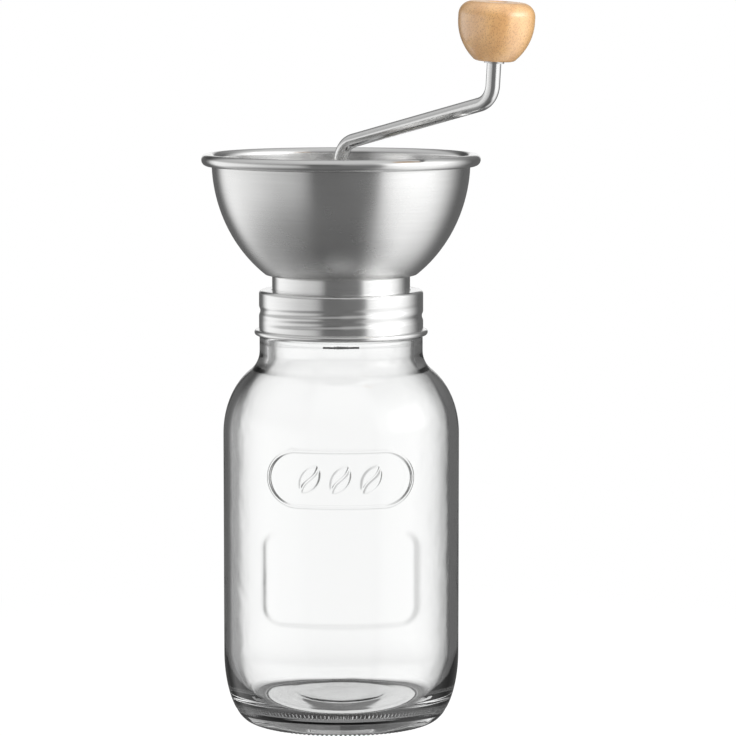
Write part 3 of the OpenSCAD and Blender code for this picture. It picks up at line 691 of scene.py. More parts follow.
@dataclass
class Jar:
    """The preserve jar, with a label panel, an oval with three beans and a knurled foot ring."""

    body_r: float = 0.0511
    height: float = 0.1856
    wall: float = 0.0036
    floor: float = 0.005
    neck_r: float = 0.0353
    neck_wall: float = 0.0036
    finish_r: float = 0.0332
    mouth_r: float = 0.0302
    lip: float = 0.0008
    heel_h: float = 0.030
    heel_w: float = 0.0122
    heel_gain: float = 0.002
    ring_w: float = 0.0034
    punt: float = 0.003
    shoulder_z: float = 0.126
    shoulder_h: float = 0.032
    shoulder_w: float = 0.0245
    sweep: float = 58.47
    blend: float = 3.0
    neck_top: float = 0.1684
    ledge: float = 0.0006
    thread: Thread = Thread(0.18255, -1.3, 0.2, 0.0014, 0.0012, 0.0007)
    dish: tuple[Pair, ...] = ((0.0297, -0.0003), (0.0205, -0.0002), (0.0185, 0.0001))
    columns: int = 240
    front: float = 0.71
    oval_zone: Pair = (0.0985, 0.1255)
    panel_zone: Pair = (0.0455, 0.0925)
    knurls: int = 126
    knurl: float = 0.0008
    knurl_top: float = 0.0016
    mould_line: Triple = (0.0052, 0.00045, 0.00022)
    wave: float = 0.00002
    waves: Pair = (0.010, 0.165)
    panel: tuple[float, float, float, float] = (0.0650, 0.0393, 0.007, 0.069)
    panel_depth: float = 0.0004
    panel_flank: float = 0.0032
    oval: Triple = (0.062, 0.025, 0.112)
    line: float = 0.0014
    raised: float = 0.0005
    bean: float = 0.013
    bean_lean: float = 30.0
    bean_edge: float = 0.0003
    seam: float = 0.00055

    def hollow(self, body: float, neck: float, width: float, height: float) -> tuple[Pair, float, float]:
        """Finds the hollow arc between a shoulder and its neck.

        Args:
            body: Radius of the body.
            neck: Radius of the neck.
            width: Width of the full shoulder curve.
            height: Rise of the full shoulder curve.

        Returns:
            The arc's centre, its radius and the slope in degrees at its start.
        """
        turn = math.radians(self.sweep)
        end = (body - width * (1 - math.cos(turn)), self.shoulder_z + height * math.sin(turn))
        slope = math.atan2(width * math.sin(turn), height * math.cos(turn))
        radius = (end[0] - neck) / (1 - math.cos(slope))
        return (neck + radius, end[1] + radius * math.sin(slope)), radius, math.degrees(slope)

    def outside(self) -> Outline:
        """Draws the section from the hollow under the foot to the neck's ledge and over the lip.

        Returns:
            The outline, from the axis to the ledge inside the mouth.
        """
        top, lip = self.neck_top, self.lip
        ring_r = self.body_r - self.heel_w
        ring_in = ring_r - self.ring_w
        chain = Outline(0, self.punt).line(ring_in - 0.0018, self.punt * 0.96, 6)
        chain.line(ring_in - 0.0006, 0.0005, 3)
        chain.line(ring_in, 0.0001, 2).line(ring_r, 0, 4)
        chain.arc((ring_r, self.heel_h), (self.heel_w, self.heel_h), -87, 0, 27)
        chain.line(self.body_r, self.shoulder_z, 56)
        chain.arc((self.body_r - self.shoulder_w, self.shoulder_z), (self.shoulder_w, self.shoulder_h),
                  0, self.sweep, 20)
        centre, radius, slope = self.hollow(self.body_r, self.neck_r, self.shoulder_w, self.shoulder_h)
        chain.arc(centre, (radius, radius), 180 + slope - self.blend, 180, 10)
        chain.line(self.neck_r, top - lip, 4).line(self.neck_r - self.ledge, top, 2)
        chain.line(self.finish_r + self.ledge, top + 0.0004).line(self.finish_r, top + 2 * self.ledge, 2)
        chain.line(self.finish_r, self.height - lip, 27)
        chain.arc((self.finish_r - lip, self.height - lip), (lip, lip), 0, 90, 5)
        chain.arc((self.mouth_r + lip, self.height - lip), (lip, lip), 90, 180, 5)
        return chain.line(self.mouth_r, top + lip, 3)

    def inside(self, chain: Outline) -> Outline:
        """Draws the section from the neck's bore down to the floor and in to the axis.

        Args:
            chain: The outline so far.

        Returns:
            The same outline.
        """
        inner_r = self.body_r - self.wall
        bore_r = self.neck_r - self.neck_wall
        width = self.shoulder_w * (inner_r - bore_r) / (self.body_r - self.neck_r)
        height = self.shoulder_h - self.wall * 0.4
        floor_z = self.punt + self.floor
        heel_w, heel_z = self.heel_w + self.heel_gain, self.heel_h + self.heel_gain
        centre, radius, slope = self.hollow(inner_r, bore_r, width, height)
        chain.line(bore_r, self.neck_top - 2 * self.ledge, 2).line(bore_r, centre[1], 2)
        chain.arc(centre, (radius, radius), 180, 180 + slope - self.blend, 8)
        chain.arc((inner_r - width, self.shoulder_z), (width, height), self.sweep, 0, 13)
        chain.line(inner_r, heel_z, 17)
        chain.arc((inner_r - heel_w, heel_z), (heel_w, heel_z + 0.001 - floor_z), 0, -86, 16)
        for r, z in self.dish:
            chain.line(r, floor_z + z, 2)
        return chain.line(0, floor_z + self.dish[-1][1], 3)

    def panel_drop(self, x: float, z: float) -> float:
        """Depth of the label panel at a point of the front.

        Args:
            x: Distance to the right of the jar's middle.
            z: Height.

        Returns:
            The depth, 0 outside the panel.
        """
        width, height, corner, middle = self.panel
        dx, dz = abs(x) - width / 2 + corner, abs(z - middle) - height / 2 + corner
        edge = math.hypot(max(dx, 0), max(dz, 0)) + min(max(dx, dz), 0) - corner
        return self.panel_depth * ease(0.5 - edge / self.panel_flank)

    def bean_rise(self, x: float, z: float) -> float:
        """Share of the full height of a bean with a curved seam.

        Args:
            x: Distance to the right of the bean's middle.
            z: Height above the bean's middle.

        Returns:
            The share, 0 beside the bean.
        """
        turn = math.radians(self.bean_lean)
        u, v = x * math.cos(turn) - z * math.sin(turn), x * math.sin(turn) + z * math.cos(turn)
        side, half = self.bean * 0.65, self.bean * 0.31
        inside = side - max(math.hypot(u - side + half, v), math.hypot(u + side - half, v)) + self.bean_edge
        seam = (u - 0.0009 * math.sin(v / self.bean * 5.2)) / self.seam
        return ease(inside / 0.0013) - 0.9 * math.exp(-seam * seam) if inside > 0 else 0.0

    def oval_rise(self, x: float, z: float) -> float:
        """Height of the oval's raised line and of its beans at a point of the front.

        Args:
            x: Distance to the right of the jar's middle.
            z: Height.

        Returns:
            The height above the glass.
        """
        width, height, middle = self.oval
        straight = width / 2 - height / 2
        edge = math.hypot(x - min(straight, max(-straight, x)), z - middle) - height / 2
        ring = 1.15 * ease(1.25 - abs(edge + self.line / 2) / (self.line * 0.5))
        beans = (self.bean_rise(x - k * self.bean, z - middle) for k in (-1, 0, 1))
        return self.raised * min(1.0, max(ring, *beans))

    def relief(self, p: Vector) -> Pair:
        """Finds where a point of the plain skin goes.

        Args:
            p: The point.

        Returns:
            Its new distance from the axis, and how far it is lifted.
        """
        r, angle, z = reach(p), bearing(p), p.z
        ring_r = self.body_r - self.heel_w
        ring_in = ring_r - self.ring_w
        line_z, line_half, line_depth = self.mould_line
        low, high = self.waves
        if r > self.body_r - 0.0009 and self.heel_h < z < self.shoulder_z:
            x = self.body_r * math.sin(angle)
            worked = abs(angle) < self.front + 0.04
            return self.body_r + (self.oval_rise(x, z) - self.panel_drop(x, z) if worked else 0.0), 0.0
        if z > self.neck_top + 0.001 and abs(r - self.finish_r) < 0.0001:
            return r + self.thread.level(p), 0.0
        if z < self.knurl_top and r > ring_in - 0.0004:
            tooth = 0.5 - 0.5 * math.cos(angle * self.knurls)
            return r, self.knurl * tooth * ease((r - ring_in) / 0.0006) * ease(1 - z / self.knurl_top)
        if 0.0035 < z < 0.0075 and r > ring_r + 0.004:
            return r - line_depth * math.exp(-((z - line_z) / line_half) ** 2), 0.0
        if low < z < high and r < self.body_r - 0.0022:
            level = ease((z - low) / 0.02) * ease((high - z) / 0.02)
            swell = math.sin(3 * angle + 1.3 + 60 * z) + 0.4 * math.sin(5 * angle - 70 * z)
            return r + self.wave * level * swell, 0.0
        return r, 0.0

    def on_front(self, p: Vector, low: float, high: float) -> bool:
        """Says whether a point lies on the front of the skin between two heights."""
        return abs(bearing(p)) < self.front and reach(p) > self.body_r - 0.001 and low < p.z < high

    def refine(self, mesh: bmesh.types.BMesh, zone: Callable[[Vector], bool], cuts: int) -> None:
        """Divides the faces whose corners all lie in a zone.

        Args:
            mesh: The jar's mesh, changed in place.
            zone: Says whether a point lies in the zone.
            cuts: Number of cuts in each edge.
        """
        faces = {f for f in mesh.faces if all(zone(v.co) for v in f.verts)}
        edges = [e for e in mesh.edges if not faces.isdisjoint(e.link_faces)]
        bmesh.ops.subdivide_edges(mesh, edges=edges, cuts=cuts, use_grid_fill=True)

    def shape(self) -> bmesh.types.BMesh:
        """Spins the jar, refines its worked zones and moves its skin in and out.

        Returns:
            The jar's mesh.
        """
        mesh = self.inside(self.outside()).spun(self.columns, closed=False)
        ring_in = self.body_r - self.heel_w - self.ring_w
        self.refine(mesh, lambda p: self.on_front(p, *self.oval_zone), 3)
        self.refine(mesh, lambda p: self.on_front(p, *self.panel_zone), 1)
        self.refine(mesh, lambda p: p.z < 0.0018 and reach(p) > ring_in - 0.0002, 2)
        for v in mesh.verts:
            if reach(v.co) > 1e-6:
                radius, lift = self.relief(v.co)
                set_radius(v, radius)
                v.co.z += lift
        bmesh.ops.recalc_face_normals(mesh, faces=mesh.faces[:])
        return mesh

    def build(self, palette: Palette) -> None:
        """Makes the jar, which throws no shadow because the lamps' light goes through it."""
        jar = piece("preserve_jar", self.shape(), "jar", "glass", palette, "glass_jar", 60)
        jar.visible_shadow = jar.visible_diffuse = False


@dataclass
class ScrewBand:
    """The rolled steel band that holds the grinder's head on the jar."""

    outer_r: float = 0.0355
    sheet: float = 0.0005
    lip_r: float = 0.0301
    top: float = 0.1882
    height: float = 0.0195
    edge: float = 0.0016
    curl: float = 0.00125
    thread: Thread = Thread(0.1804, -1.25, 0.25, 0.00055, 0.0022, 0.002, soft_ends=True)
    columns: int = 288

    def shape(self) -> bmesh.types.BMesh:
        """Spins the band's sheet with its curled foot and sinks the thread into its wall.

        Returns:
            The band's mesh.
        """
        inner_r = self.outer_r - self.sheet
        curl_z, curl_r = self.top - self.height + self.curl, inner_r + self.curl
        meet = 180 - math.degrees(math.acos((curl_r - self.outer_r) / self.curl))
        bend = (self.outer_r - self.edge, self.top - self.edge)
        chain = Outline(self.lip_r, self.top - self.sheet).line(self.lip_r, self.top)
        chain.line(bend[0], self.top, 3).arc(bend, (self.edge, self.edge), 90, 0, 8)
        chain.line(self.outer_r, curl_z + self.curl * math.sin(math.radians(meet)) + 0.0001, 40)
        chain.arc((curl_r, curl_z), (self.curl, self.curl), meet, -180, 26)
        chain.line(inner_r, bend[1], 40)
        chain.arc(bend, (self.edge - self.sheet, self.edge - self.sheet), 0, 90, 6)
        mesh = chain.spun(self.columns)
        for v in mesh.verts:
            r = reach(v.co)
            if abs(r - self.outer_r) < 1e-5 or (abs(r - inner_r) < 1e-5 and v.co.z > curl_z + 0.0002):
                set_radius(v, r - self.thread.level(v.co))
        return mesh

    def build(self, palette: Palette) -> None:
        """Makes the band."""
        piece("screw_band_shell", self.shape(), "band", "satin_steel", palette, "screw_band")


@dataclass
class Hopper:
    """The spun steel bowl and the collar that joins it to the jar."""

    rim_r: float = 0.060175
    height: float = 0.0525
    foot_z: float = 0.1945
    sheet: float = 0.0008
    bead: float = 0.0026
    floor_r: float = 0.0322
    hole_r: float = 0.0220
    collar_r: float = 0.0298
    collar_round: float = 0.0004
    flange_r: float = 0.0334
    collar_z: float = 0.1868
    columns: int = 192

    def bowl(self) -> bmesh.types.BMesh:
        """Spins the bowl with its rolled rim.

        Returns:
            The bowl's mesh.
        """
        outer_a = self.rim_r - 2 * self.bead + self.sheet
        rim_z = self.foot_z + self.height - self.bead
        depth = rim_z - self.foot_z
        foot = math.degrees(math.acos(self.floor_r / outer_a))
        outer_b = depth / math.sin(math.radians(foot))
        inner_a, inner_b = outer_a - self.sheet, outer_b - self.sheet
        floor = math.degrees(math.asin((depth - self.sheet) / inner_b))
        bead = (self.rim_r - self.bead, rim_z)
        thin = self.bead - self.sheet
        chain = Outline(self.hole_r, self.foot_z).line(self.floor_r - 0.0012, self.foot_z, 5)
        chain.arc((0, rim_z), (outer_a, outer_b), -foot + 0.8, 0, 44)
        chain.arc(bead, (thin, thin), 180, -100, 22).arc(bead, (self.bead, self.bead), -100, 180, 34)
        chain.arc((0, rim_z), (inner_a, inner_b), 0, -floor, 44)
        return chain.line(self.hole_r, self.foot_z + self.sheet, 5).spun(self.columns)

    def collar(self) -> bmesh.types.BMesh:
        """Spins the collar with its foot flange.

        Returns:
            The collar's mesh.
        """
        top, step, soft = self.foot_z, self.collar_z + self.sheet, self.collar_round
        inner = self.collar_r - self.sheet
        chain = Outline(self.hole_r, top - self.sheet).line(self.hole_r, top).line(self.collar_r - soft, top, 2)
        chain.arc((self.collar_r - soft, top - soft), (soft, soft), 90, 0, 4)
        chain.line(self.collar_r, step + 0.0003, 10).line(self.collar_r + 0.0003, step)
        chain.line(self.flange_r, step).line(self.flange_r, self.collar_z).line(inner, self.collar_z)
        return chain.line(inner, top - self.sheet, 6).spun(self.columns)

    def build(self, palette: Palette) -> None:
        """Makes the bowl and the collar."""
        piece("hopper_shell", self.bowl(), "head", "brushed_steel", palette, "hopper_bowl")
        piece("collar_shell", self.collar(), "head", "satin_steel", palette, "collar")


@dataclass
class Crank:
    """The bent rod crank and its turned wooden knob."""

    rod_r: float = 0.003
    bend_r: float = 0.009
    sides: int = 32
    bend_steps: int = 14
    corner_z: float = 0.2511
    reach: float = 0.0825
    slope: float = 13.8
    lean: float = 3.9
    end: float = 0.0167
    azimuth: float = -40.0
    tail_z: float = 0.1646
    flats_z: float = 0.18955
    flats: float = 0.0025
    spindle_r: float = 0.00225
    spindle_top: float = 0.0176
    step_down: float = 0.0009
    knob_r: float = 0.01599
    knob_h: float = 0.02459
    knob_foot: float = 0.0078
    knob_top: float = 0.0058
    knob_wide: float = 0.017
    bush_r: float = 0.00352
    recess_r: float = 0.00365
    knob_columns: int = 128

    @property
    def upper_corner(self) -> Vector:
        """The arm's outer corner, in the crank's own plane."""
        return Vector((self.reach, 0, self.corner_z + self.reach * math.tan(math.radians(self.slope))))

    @property
    def knob_place(self) -> Matrix:
        """The transform from the knob's own frame, with its foot at the origin, to the grinder's."""
        return (Matrix.Rotation(math.radians(self.azimuth), 4, "Z") @ Matrix.Translation(self.upper_corner)
                @ Matrix.Rotation(math.radians(self.lean), 4, "Y") @ Matrix.Translation((0, 0, self.end)))

    def rod(self) -> bmesh.types.BMesh:
        """Bends the rod: arm and spindle upwards from the flats, then the shaft down between them.

        Returns:
            The rod's mesh.
        """
        slope, lean = math.radians(self.slope), math.radians(self.lean)
        low = self.bend_r * math.tan((math.pi / 2 - slope) / 2)
        high = self.bend_r * math.tan((math.pi / 2 - lean - slope) / 2)
        along = Vector((math.cos(slope), 0, math.sin(slope)))
        across = Vector((-math.sin(slope), 0, math.cos(slope)))
        up = Vector((math.sin(lean), 0, math.cos(lean)))
        bar = Bar(self.rod_r, self.sides, Matrix.Translation((0, 0, self.flats_z)))
        bar.push(Vector((0, 0, self.corner_z - low - self.flats_z)), 12)
        bar.bend(Vector((self.bend_r, 0, self.corner_z - low)), (0, 1, 0), math.pi / 2 - slope, self.bend_steps)
        start = Vector((0, 0, self.corner_z)) + low * along
        stop = self.upper_corner - high * along
        bar.push(stop - start, 12)
        bar.bend(stop + self.bend_r * across, (0, 1, 0), -(math.pi / 2 - slope - lean), self.bend_steps)
        shoulder = self.upper_corner + (self.end - self.step_down) * up
        bar.push(shoulder - self.upper_corner - high * up, 4)
        bar.step_in(self.spindle_r, shoulder)
        bar.push((self.spindle_top + self.step_down) * up, 4)
        bar.go_back()
        for v in bar.grow():
            v.co.x = max(-self.flats, min(self.flats, v.co.x))
        bar.push(Vector((0, 0, self.tail_z - self.flats_z)), 3)
        mesh = bar.close()
        bmesh.ops.rotate(mesh, verts=mesh.verts[:], cent=(0, 0, 0),
                         matrix=Matrix.Rotation(math.radians(self.azimuth), 3, "Z"))
        return mesh

    def knob(self) -> bmesh.types.BMesh:
        """Turns the knob, bored for its bush and recessed for its screw.

        Returns:
            The knob's mesh.
        """
        rise = self.knob_wide - 0.001
        inset = self.knob_r - self.knob_foot - 0.0013
        flank = (rise * rise + inset * inset) / (2 * inset)
        top = self.knob_top
        chain = Outline(self.bush_r, 0).line(self.knob_foot - 0.0006, 0, 4)
        chain.line(self.knob_foot + 0.0002, 0.0002).line(self.knob_foot + 0.0009, 0.00055)
        chain.arc((self.knob_r - flank, self.knob_wide), (flank, flank), -math.degrees(math.asin(rise / flank)),
                  0, 32)
        chain.arc((self.knob_r - top, self.knob_h - top), (top, top), 0, 84, 18)
        chain.line(self.recess_r + 0.0005, self.knob_h, 5).line(self.recess_r, self.knob_h - 0.0004)
        chain.line(self.recess_r, self.spindle_top, 4).line(self.bush_r, self.spindle_top)
        mesh = chain.line(self.bush_r, 0, 6).spun(self.knob_columns, closed=False)
        bmesh.ops.transform(mesh, matrix=self.knob_place, verts=mesh.verts[:])
        return mesh

    def build(self, palette: Palette) -> None:
        """Makes the rod and the knob."""
        piece("crank_bar", self.rod(), "crank", "polished_steel", palette, "crank_rod", 40)
        piece("turned_knob", self.knob(), "knob", "wood", palette, "knob")


@dataclass
class Spring:
    """The compression spring between the burr carrier and its upper washer, with dead end coils."""

    coil_r: float = 0.00475
    wire_r: float = 0.0005
    turns: float = 4.0
    dead: float = 0.6
    per_turn: int = 32
    sides: int = 12

    def build(self, palette: Palette) -> None:
        """Makes the spring, which gives way between the burr and the crank.

        Args:
            palette: The materials.
        """
        low, high = (corner.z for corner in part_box("spring"))
        place = Matrix.Translation((self.coil_r, 0, low + self.wire_r)) @ Matrix.Rotation(math.pi / 2, 4, "X")
        wire = Bar(self.wire_r, self.sides, place)
        climb = high - low - 2 * self.wire_r
        for turns, rise in ((self.dead, 0.0), (self.turns - 2 * self.dead, climb), (self.dead, 0.0)):
            wire.bend(Vector(), (0, 0, 1), math.tau * turns, round(turns * self.per_turn), rise)
        spring = piece("coil_spring", wire.close(), None, "spring_steel", palette, "spring")
        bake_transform(spring)


@dataclass
class Works:
    """The parts that keep their CAD meshes and get their finish here."""

    kept: tuple[str, ...] = (
        "seal_ring", "burr_housing", "outer_burr", "burr_retainer", "retainer_screws", "bridge", "shaft_bush",
        "clamp_screws", "clamp_nuts", "thrust_washer", "spring_washer", "thrust_collar", "collar_set_screw",
        "knob_thrust_washer", "knob_screw", "knob_screw_washer", "burr_carrier", "inner_burr",
        "click_washer", "adjusting_nut", "knob_bush")

    def build(self, palette: Palette) -> None:
        """Gives each kept CAD part the finish of its slot in the record.

        Args:
            palette: The materials.
        """
        slots = {part["node"]: part["material_slot"] for part in frame["record"]["subparts"]}
        for name in self.kept:
            data = frame["nodes"][name].data
            data.materials.clear()
            data.materials.append(palette[slots[name]])
            log.info("%s: %s", name, slots[name])


# ---------------------------------------------------------------- set


class Ray(Enum):
    """The rays that the surroundings answer in their own way."""

    CAMERA = "Is Camera Ray"
    GLOSSY = "Is Glossy Ray"
    THROUGH = "Is Transmission Ray"


@dataclass(frozen=True)
class Lamp:
    """A square soft lamp aimed at the grinder's middle."""

    name: str
    place: Triple
    size: float
    power: float
    aim: Triple = (0.0, 0.0, 0.17)

    def build(self) -> None:
        """Adds the lamp, which neither metal nor glass shows."""
        light = bpy.data.lights.new(self.name, "AREA")
        light.size = self.size
        light.energy = self.power
        obj = place_object(self.name, light)
        obj.location = self.place
        obj.rotation_euler = (Vector(self.aim) - Vector(self.place)).to_track_quat("-Z", "Y").to_euler()
        obj.visible_glossy = obj.visible_transmission = False


@dataclass
class Surroundings:
    """The world: plain white to the camera, soft panels to metal, and white with dark flags behind glass.

    The tables give a brightness for each direction from the grinder in degrees, with 0 at the front, and heights
    gives one for each upward part of a direction. The zones are in radians or in upward parts.
    """

    soft: float = 0.62
    ceiling: float = 0.66
    ceiling_zone: Pair = (0.25, 0.95)
    window: float = 3.0
    window_turn: tuple[Pair, Pair] = ((0.82, 1.0), (1.72, 1.54))
    window_rise: tuple[Pair, Pair] = ((0.06, 0.18), (0.58, 0.42))
    low_zone: Pair = (-0.31, -0.7)
    deep_zone: Pair = (-0.74, -0.93)
    calm_front: float = 0.95
    calm_zone: Pair = (0.8, 0.5)
    back_zone: Pair = (2.88, 3.02)
    flag_zone: tuple[float, float, float, float] = (2.44, 2.57, 0.55, 1.0)
    floor_zone: Pair = (-0.75, -0.95)
    floor_tone: float = 0.85
    flag_pitch: float = 45.0
    panels: tuple[Pair, ...] = (
        (-180, 0.14), (-148, 0.12), (-141, 0.3), (-134, 0.8), (-126, 1.08), (-112, 1.06), (-98, 0.98), (-80, 0.86),
        (-62, 0.70), (-46, 0.62), (-36, 0.52), (-29, 0.34), (-24, 0.16), (0, 0.16), (27, 0.19), (34, 0.32),
        (40, 0.95), (50, 1.14), (76, 1.20), (94, 1.14), (106, 0.92), (118, 0.55), (129, 0.25), (138, 0.13),
        (180, 0.14))
    low_panels: tuple[Pair, ...] = (
        (-180, 0.16), (-158, 0.35), (-145, 0.52), (-130, 0.38), (-108, 0.36), (-90, 0.30), (-68, 0.28),
        (-50, 0.26), (-34, 0.17), (20, 0.16), (34, 0.3), (43, 0.56), (52, 0.86), (66, 1.02), (81, 1.08),
        (96, 0.98), (109, 0.84), (122, 0.72), (133, 0.55), (143, 0.33), (152, 0.22), (180, 0.16))
    deep_panels: tuple[Pair, ...] = (
        (-180, 0.12), (-155, 0.3), (-141, 0.47), (-132, 0.40), (-123, 0.29), (-107, 0.23), (-77, 0.14),
        (-45, 0.11), (45, 0.12), (60, 0.17), (78, 0.28), (91, 0.50), (100, 0.68), (109, 0.78), (117, 0.78),
        (125, 0.68), (135, 0.5), (145, 0.3), (160, 0.16), (180, 0.12))
    flags: tuple[Pair, ...] = (
        (-22.5, 0.05), (-19, 0.1), (-16, 0.42), (-13.2, 0.6), (-10.5, 0.62), (-8.4, 0.72), (-6, 0.88), (-3.5, 1.0),
        (4.5, 1.0), (7.5, 0.96), (10, 0.82), (12, 0.5), (14, 0.16), (17, 0.06), (22.5, 0.05))
    heights: tuple[Pair, ...] = (
        (-1, 0.9), (-0.45, 1.0), (-0.33, 0.97), (-0.28, 0.88), (-0.235, 0.96), (-0.20, 1.0), (-0.07, 1.0),
        (0.0, 0.97), (0.06, 0.92), (0.14, 0.72), (0.3, 0.45), (0.6, 0.3), (1, 0.5))

    def mirrored(self, book: NodeBook, turn: Socket, rise: Socket) -> tuple[Socket, Socket]:
        """Builds what metal and glass mirror.

        Args:
            book: The world's book.
            turn: Direction round the grinder in radians.
            rise: Upward part of the direction.

        Returns:
            The panels for a first reflection, and the calmer ones for reflections in reflections.
        """
        share = book.math("MULTIPLY_ADD", turn, 1 / math.tau, 0.5)
        away = book.math("ABSOLUTE", turn)
        level, low, deep = (book.stops(share, table, 360)
                            for table in (self.panels, self.low_panels, self.deep_panels))
        panels = book.blend(book.ramp(rise, *self.low_zone), level, low)
        panels = book.blend(book.ramp(rise, *self.deep_zone), panels, deep)
        fall = book.blend(book.ramp(turn, -0.1, 0.1), book.grey(book.ramp(rise, 0.05, 0.3, 1.0, 0.5)),
                          book.grey(book.ramp(rise, 0.02, 0.3, 1.0, 1.3)))
        panels = book.vector("MULTIPLY", panels, fall).outputs[0]
        overhead = book.ramp(rise, *self.ceiling_zone)
        calm = book.blend(overhead, panels, tone(self.ceiling))
        calm = book.blend(book.ramp(away, *self.calm_zone), calm, tone(self.calm_front))
        window = book.product(*(book.ramp(turn, *zone) for zone in self.window_turn),
                              *(book.ramp(rise, *zone) for zone in self.window_rise))
        panels = book.blend(overhead, book.blend(window, panels, tone(self.window)), tone(self.ceiling))
        behind = book.product(book.ramp(away, *self.back_zone), book.ramp(rise, -0.04, 0.04),
                              book.ramp(rise, 0.12, 0.35, 1.0, 0.0))
        return book.blend(behind, panels, tone(1)), calm

    def seen_through(self, book: NodeBook, turn: Socket, rise: Socket) -> Socket:
        """Builds what shows through glass: white, with a dark flag at each pitch, deepest behind the front view.

        Args:
            book: The world's book.
            turn: Direction round the grinder in radians.
            rise: Upward part of the direction.

        Returns:
            The colour's socket.
        """
        half = self.flag_pitch / 2
        offset = book.math("WRAP", book.math("MULTIPLY", turn, 180 / math.pi), half, -half)
        share = book.math("MULTIPLY_ADD", offset, 1 / self.flag_pitch, 0.5)
        edges = book.stops(share, self.flags, self.flag_pitch)
        height = book.stops(book.math("MULTIPLY_ADD", rise, 0.5, 0.5), self.heights, 2)
        depth = book.ramp(book.math("ABSOLUTE", turn), *self.flag_zone)
        through = book.vector("MULTIPLY", book.blend(depth, tone(1), edges), height).outputs[0]
        return book.blend(book.ramp(rise, *self.floor_zone), through, tone(self.floor_tone))

    def build(self) -> None:
        """Builds the world and picks its answer by the kind of ray."""
        world = bpy.data.worlds.new("studio")
        world.use_nodes = True
        bpy.context.scene.world = world
        book = NodeBook(world.node_tree)
        parts = book.add("SeparateXYZ", Vector=book.add("TexCoord").outputs["Generated"]).outputs
        turn = book.math("ARCTAN2", parts[0], book.math("MULTIPLY", parts[1], -1.0))
        panels, calm = self.mirrored(book, turn, parts[2])
        rays = book.add("LightPath").outputs
        inner = book.math("GREATER_THAN", rays["Glossy Depth"], 0.5)
        through = book.blend(inner, self.seen_through(book, turn, parts[2]), calm)
        colour = book.blend(rays[Ray.GLOSSY.value], tone(self.soft), panels)
        colour = book.blend(rays[Ray.THROUGH.value], colour, through)
        background = next(n for n in world.node_tree.nodes if n.type == "BACKGROUND")
        book.fit(background, Color=book.blend(rays[Ray.CAMERA.value], colour, tone(1)))


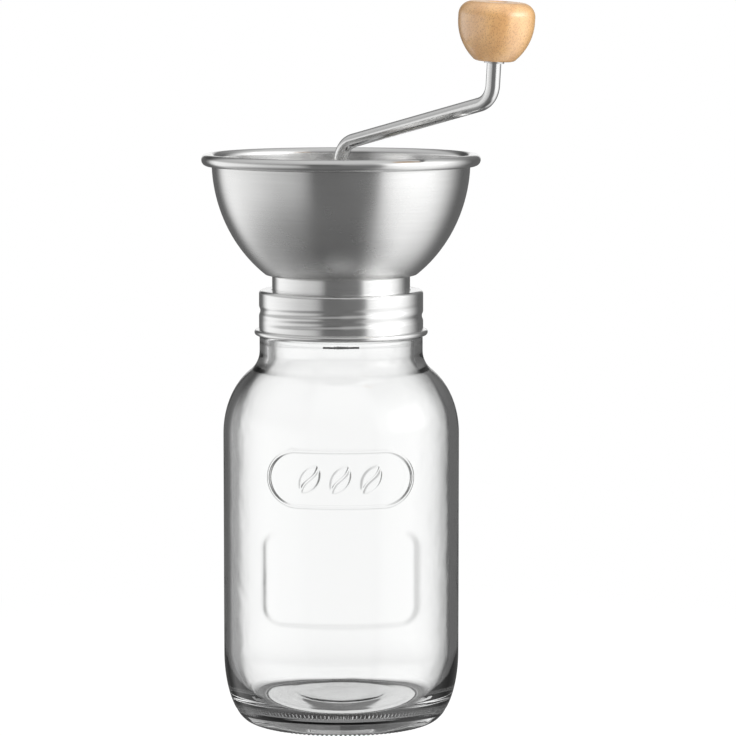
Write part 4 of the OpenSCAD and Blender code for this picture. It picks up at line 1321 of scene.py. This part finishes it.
@dataclass
class Floor:
    """A round pale floor that fades into the white surroundings, with painted light and shade under the jar that
    only glass shows: a painted glow inside the foot ring, a painted shadow round it and a painted shaded crescent.
    """

    radius: float = 0.42
    sink: float = 0.0003
    lift: float = 0.72
    matt: float = 0.9
    shade: float = 0.34
    fade: Pair = (0.12, 0.357)
    # painted light: bright emission inside the foot ring, falling to a painted shadow round it, seen only through
    # glass
    glow: tuple[float, float, float, float] = (0.0345, 0.0375, 0.95, 0.2)
    mirrored_glow: float = 0.25
    # painted shade: a darker crescent on the floor under the jar's front, inside the foot ring
    moon_edge: Pair = (0.0188, 0.0158)
    moon_cut: Pair = (0.0205, 0.0245)
    moon_place: Triple = (0.0, 0.020, 0.0)
    moon: float = 0.24
    clear_from: Pair = (0.040, 0.052)

    def glowing(self, book: NodeBook, place: Socket, radius: Socket, bounce: Socket) -> Socket:
        """Builds the painted light under the jar: a painted glow inside the foot ring, a painted shadow round it
        and a painted shaded crescent in front.

        Args:
            book: The material's book.
            place: The Object coordinates.
            radius: Distance from the middle.
            bounce: How many times the ray was mirrored.

        Returns:
            The strength's socket.
        """
        far = book.vector("DISTANCE", place, self.moon_place).outputs["Value"]
        moon = book.product(book.ramp(radius, *self.moon_edge), book.ramp(far, *self.moon_cut))
        return book.product(book.ramp(radius, *self.glow), book.ramp(bounce, 0.4, 0.6, 1.0, self.mirrored_glow),
                            book.ramp(moon, 0.0, 1.0, 1.0, self.moon))

    def material(self) -> Material:
        """Builds the floor's material, which is plain to the camera and shows painted light and shade under the
        jar behind glass.

        Returns:
            The material.
        """
        material = bpy.data.materials.new("pale_floor")
        material.use_nodes = True
        material.node_tree.nodes.clear()
        book = NodeBook(material.node_tree)
        place = book.place()
        radius = book.vector("LENGTH", place).outputs["Value"]
        rays = book.add("LightPath").outputs
        matt, shade = (book.add("BsdfDiffuse", Color=tone(v)).outputs[0] for v in (self.matt, self.shade))
        white, lift = (book.add("Emission", Color=tone(v), Strength=1.0).outputs[0] for v in (1, self.lift))
        shaded = book.add("AddShader", i0=lift, i1=shade).outputs[0]
        # painted light and shade under the jar: an emission that only rays through the glass meet
        under = book.add("Emission", Strength=self.glowing(book, place, radius, rays["Glossy Depth"])).outputs[0]
        clear = book.add("BsdfTransparent").outputs[0]
        seen = book.layer(book.ramp(radius, *self.fade), shaded, white)
        below = book.layer(book.ramp(radius, *self.clear_from), under, clear)
        answer = book.layer(rays[Ray.THROUGH.value], book.layer(rays[Ray.CAMERA.value], matt, seen), below)
        book.add("OutputMaterial", Surface=answer)
        return material

    def build(self) -> None:
        """Lays the floor just under the jar's foot."""
        mesh = bmesh.new()
        bmesh.ops.create_circle(mesh, cap_ends=True, segments=96, radius=self.radius,
                                matrix=Matrix.Translation((0, 0, -self.sink)))
        data = bpy.data.meshes.new("floor")
        mesh.to_mesh(data)
        mesh.free()
        data.materials.append(self.material())
        obj = place_object("floor", data)
        obj.visible_glossy = False


@dataclass
class Studio:
    """The surroundings, three lamps, the floor and the camera."""

    lens: float = 184.3
    sensor: float = 36.0
    eye: Triple = (0.01163, -1.6237, 0.3256)
    pitch: float = 6.03
    lamps: tuple[Lamp, ...] = (
        Lamp("left_lamp", (-1.0, -0.7, 0.75), 0.8, 0.6),
        Lamp("right_lamp", (1.0, -0.8, 0.7), 0.8, 12.5),
        Lamp("top_lamp", (0.1, 0.1, 1.4), 0.9, 4.0))

    def camera(self) -> None:
        """Places the camera and makes it the scene's."""
        data = bpy.data.cameras.new("camera")
        data.lens = self.lens
        data.sensor_width = self.sensor
        data.clip_start = 0.01
        obj = place_object("camera", data)
        obj.location = self.eye
        obj.rotation_euler = (math.radians(90 - self.pitch), 0, 0)
        bpy.context.scene.camera = obj

    def build(self) -> None:
        """Sets the whole studio."""
        bpy.context.scene.view_settings.view_transform = "Standard"
        Surroundings().build()
        for lamp in self.lamps:
            lamp.build()
        Floor().build()
        self.camera()
        log.info("studio: world, %d lamps, floor and camera", len(self.lamps))


def main() -> None:
    """Builds each sub-assembly in turn, dresses it and sets the studio."""
    logging.basicConfig(level=logging.INFO, format="%(name)s: %(message)s")
    crank = Crank()
    palette = Palette(Finishes(wood=Beech(centre=tuple(crank.knob_place.translation))))
    for assembly in (Jar(), ScrewBand(), Hopper(), crank, Spring(), Works()):
        assembly.build(palette)
    Studio().build()


if __name__ == "__main__":
    main()
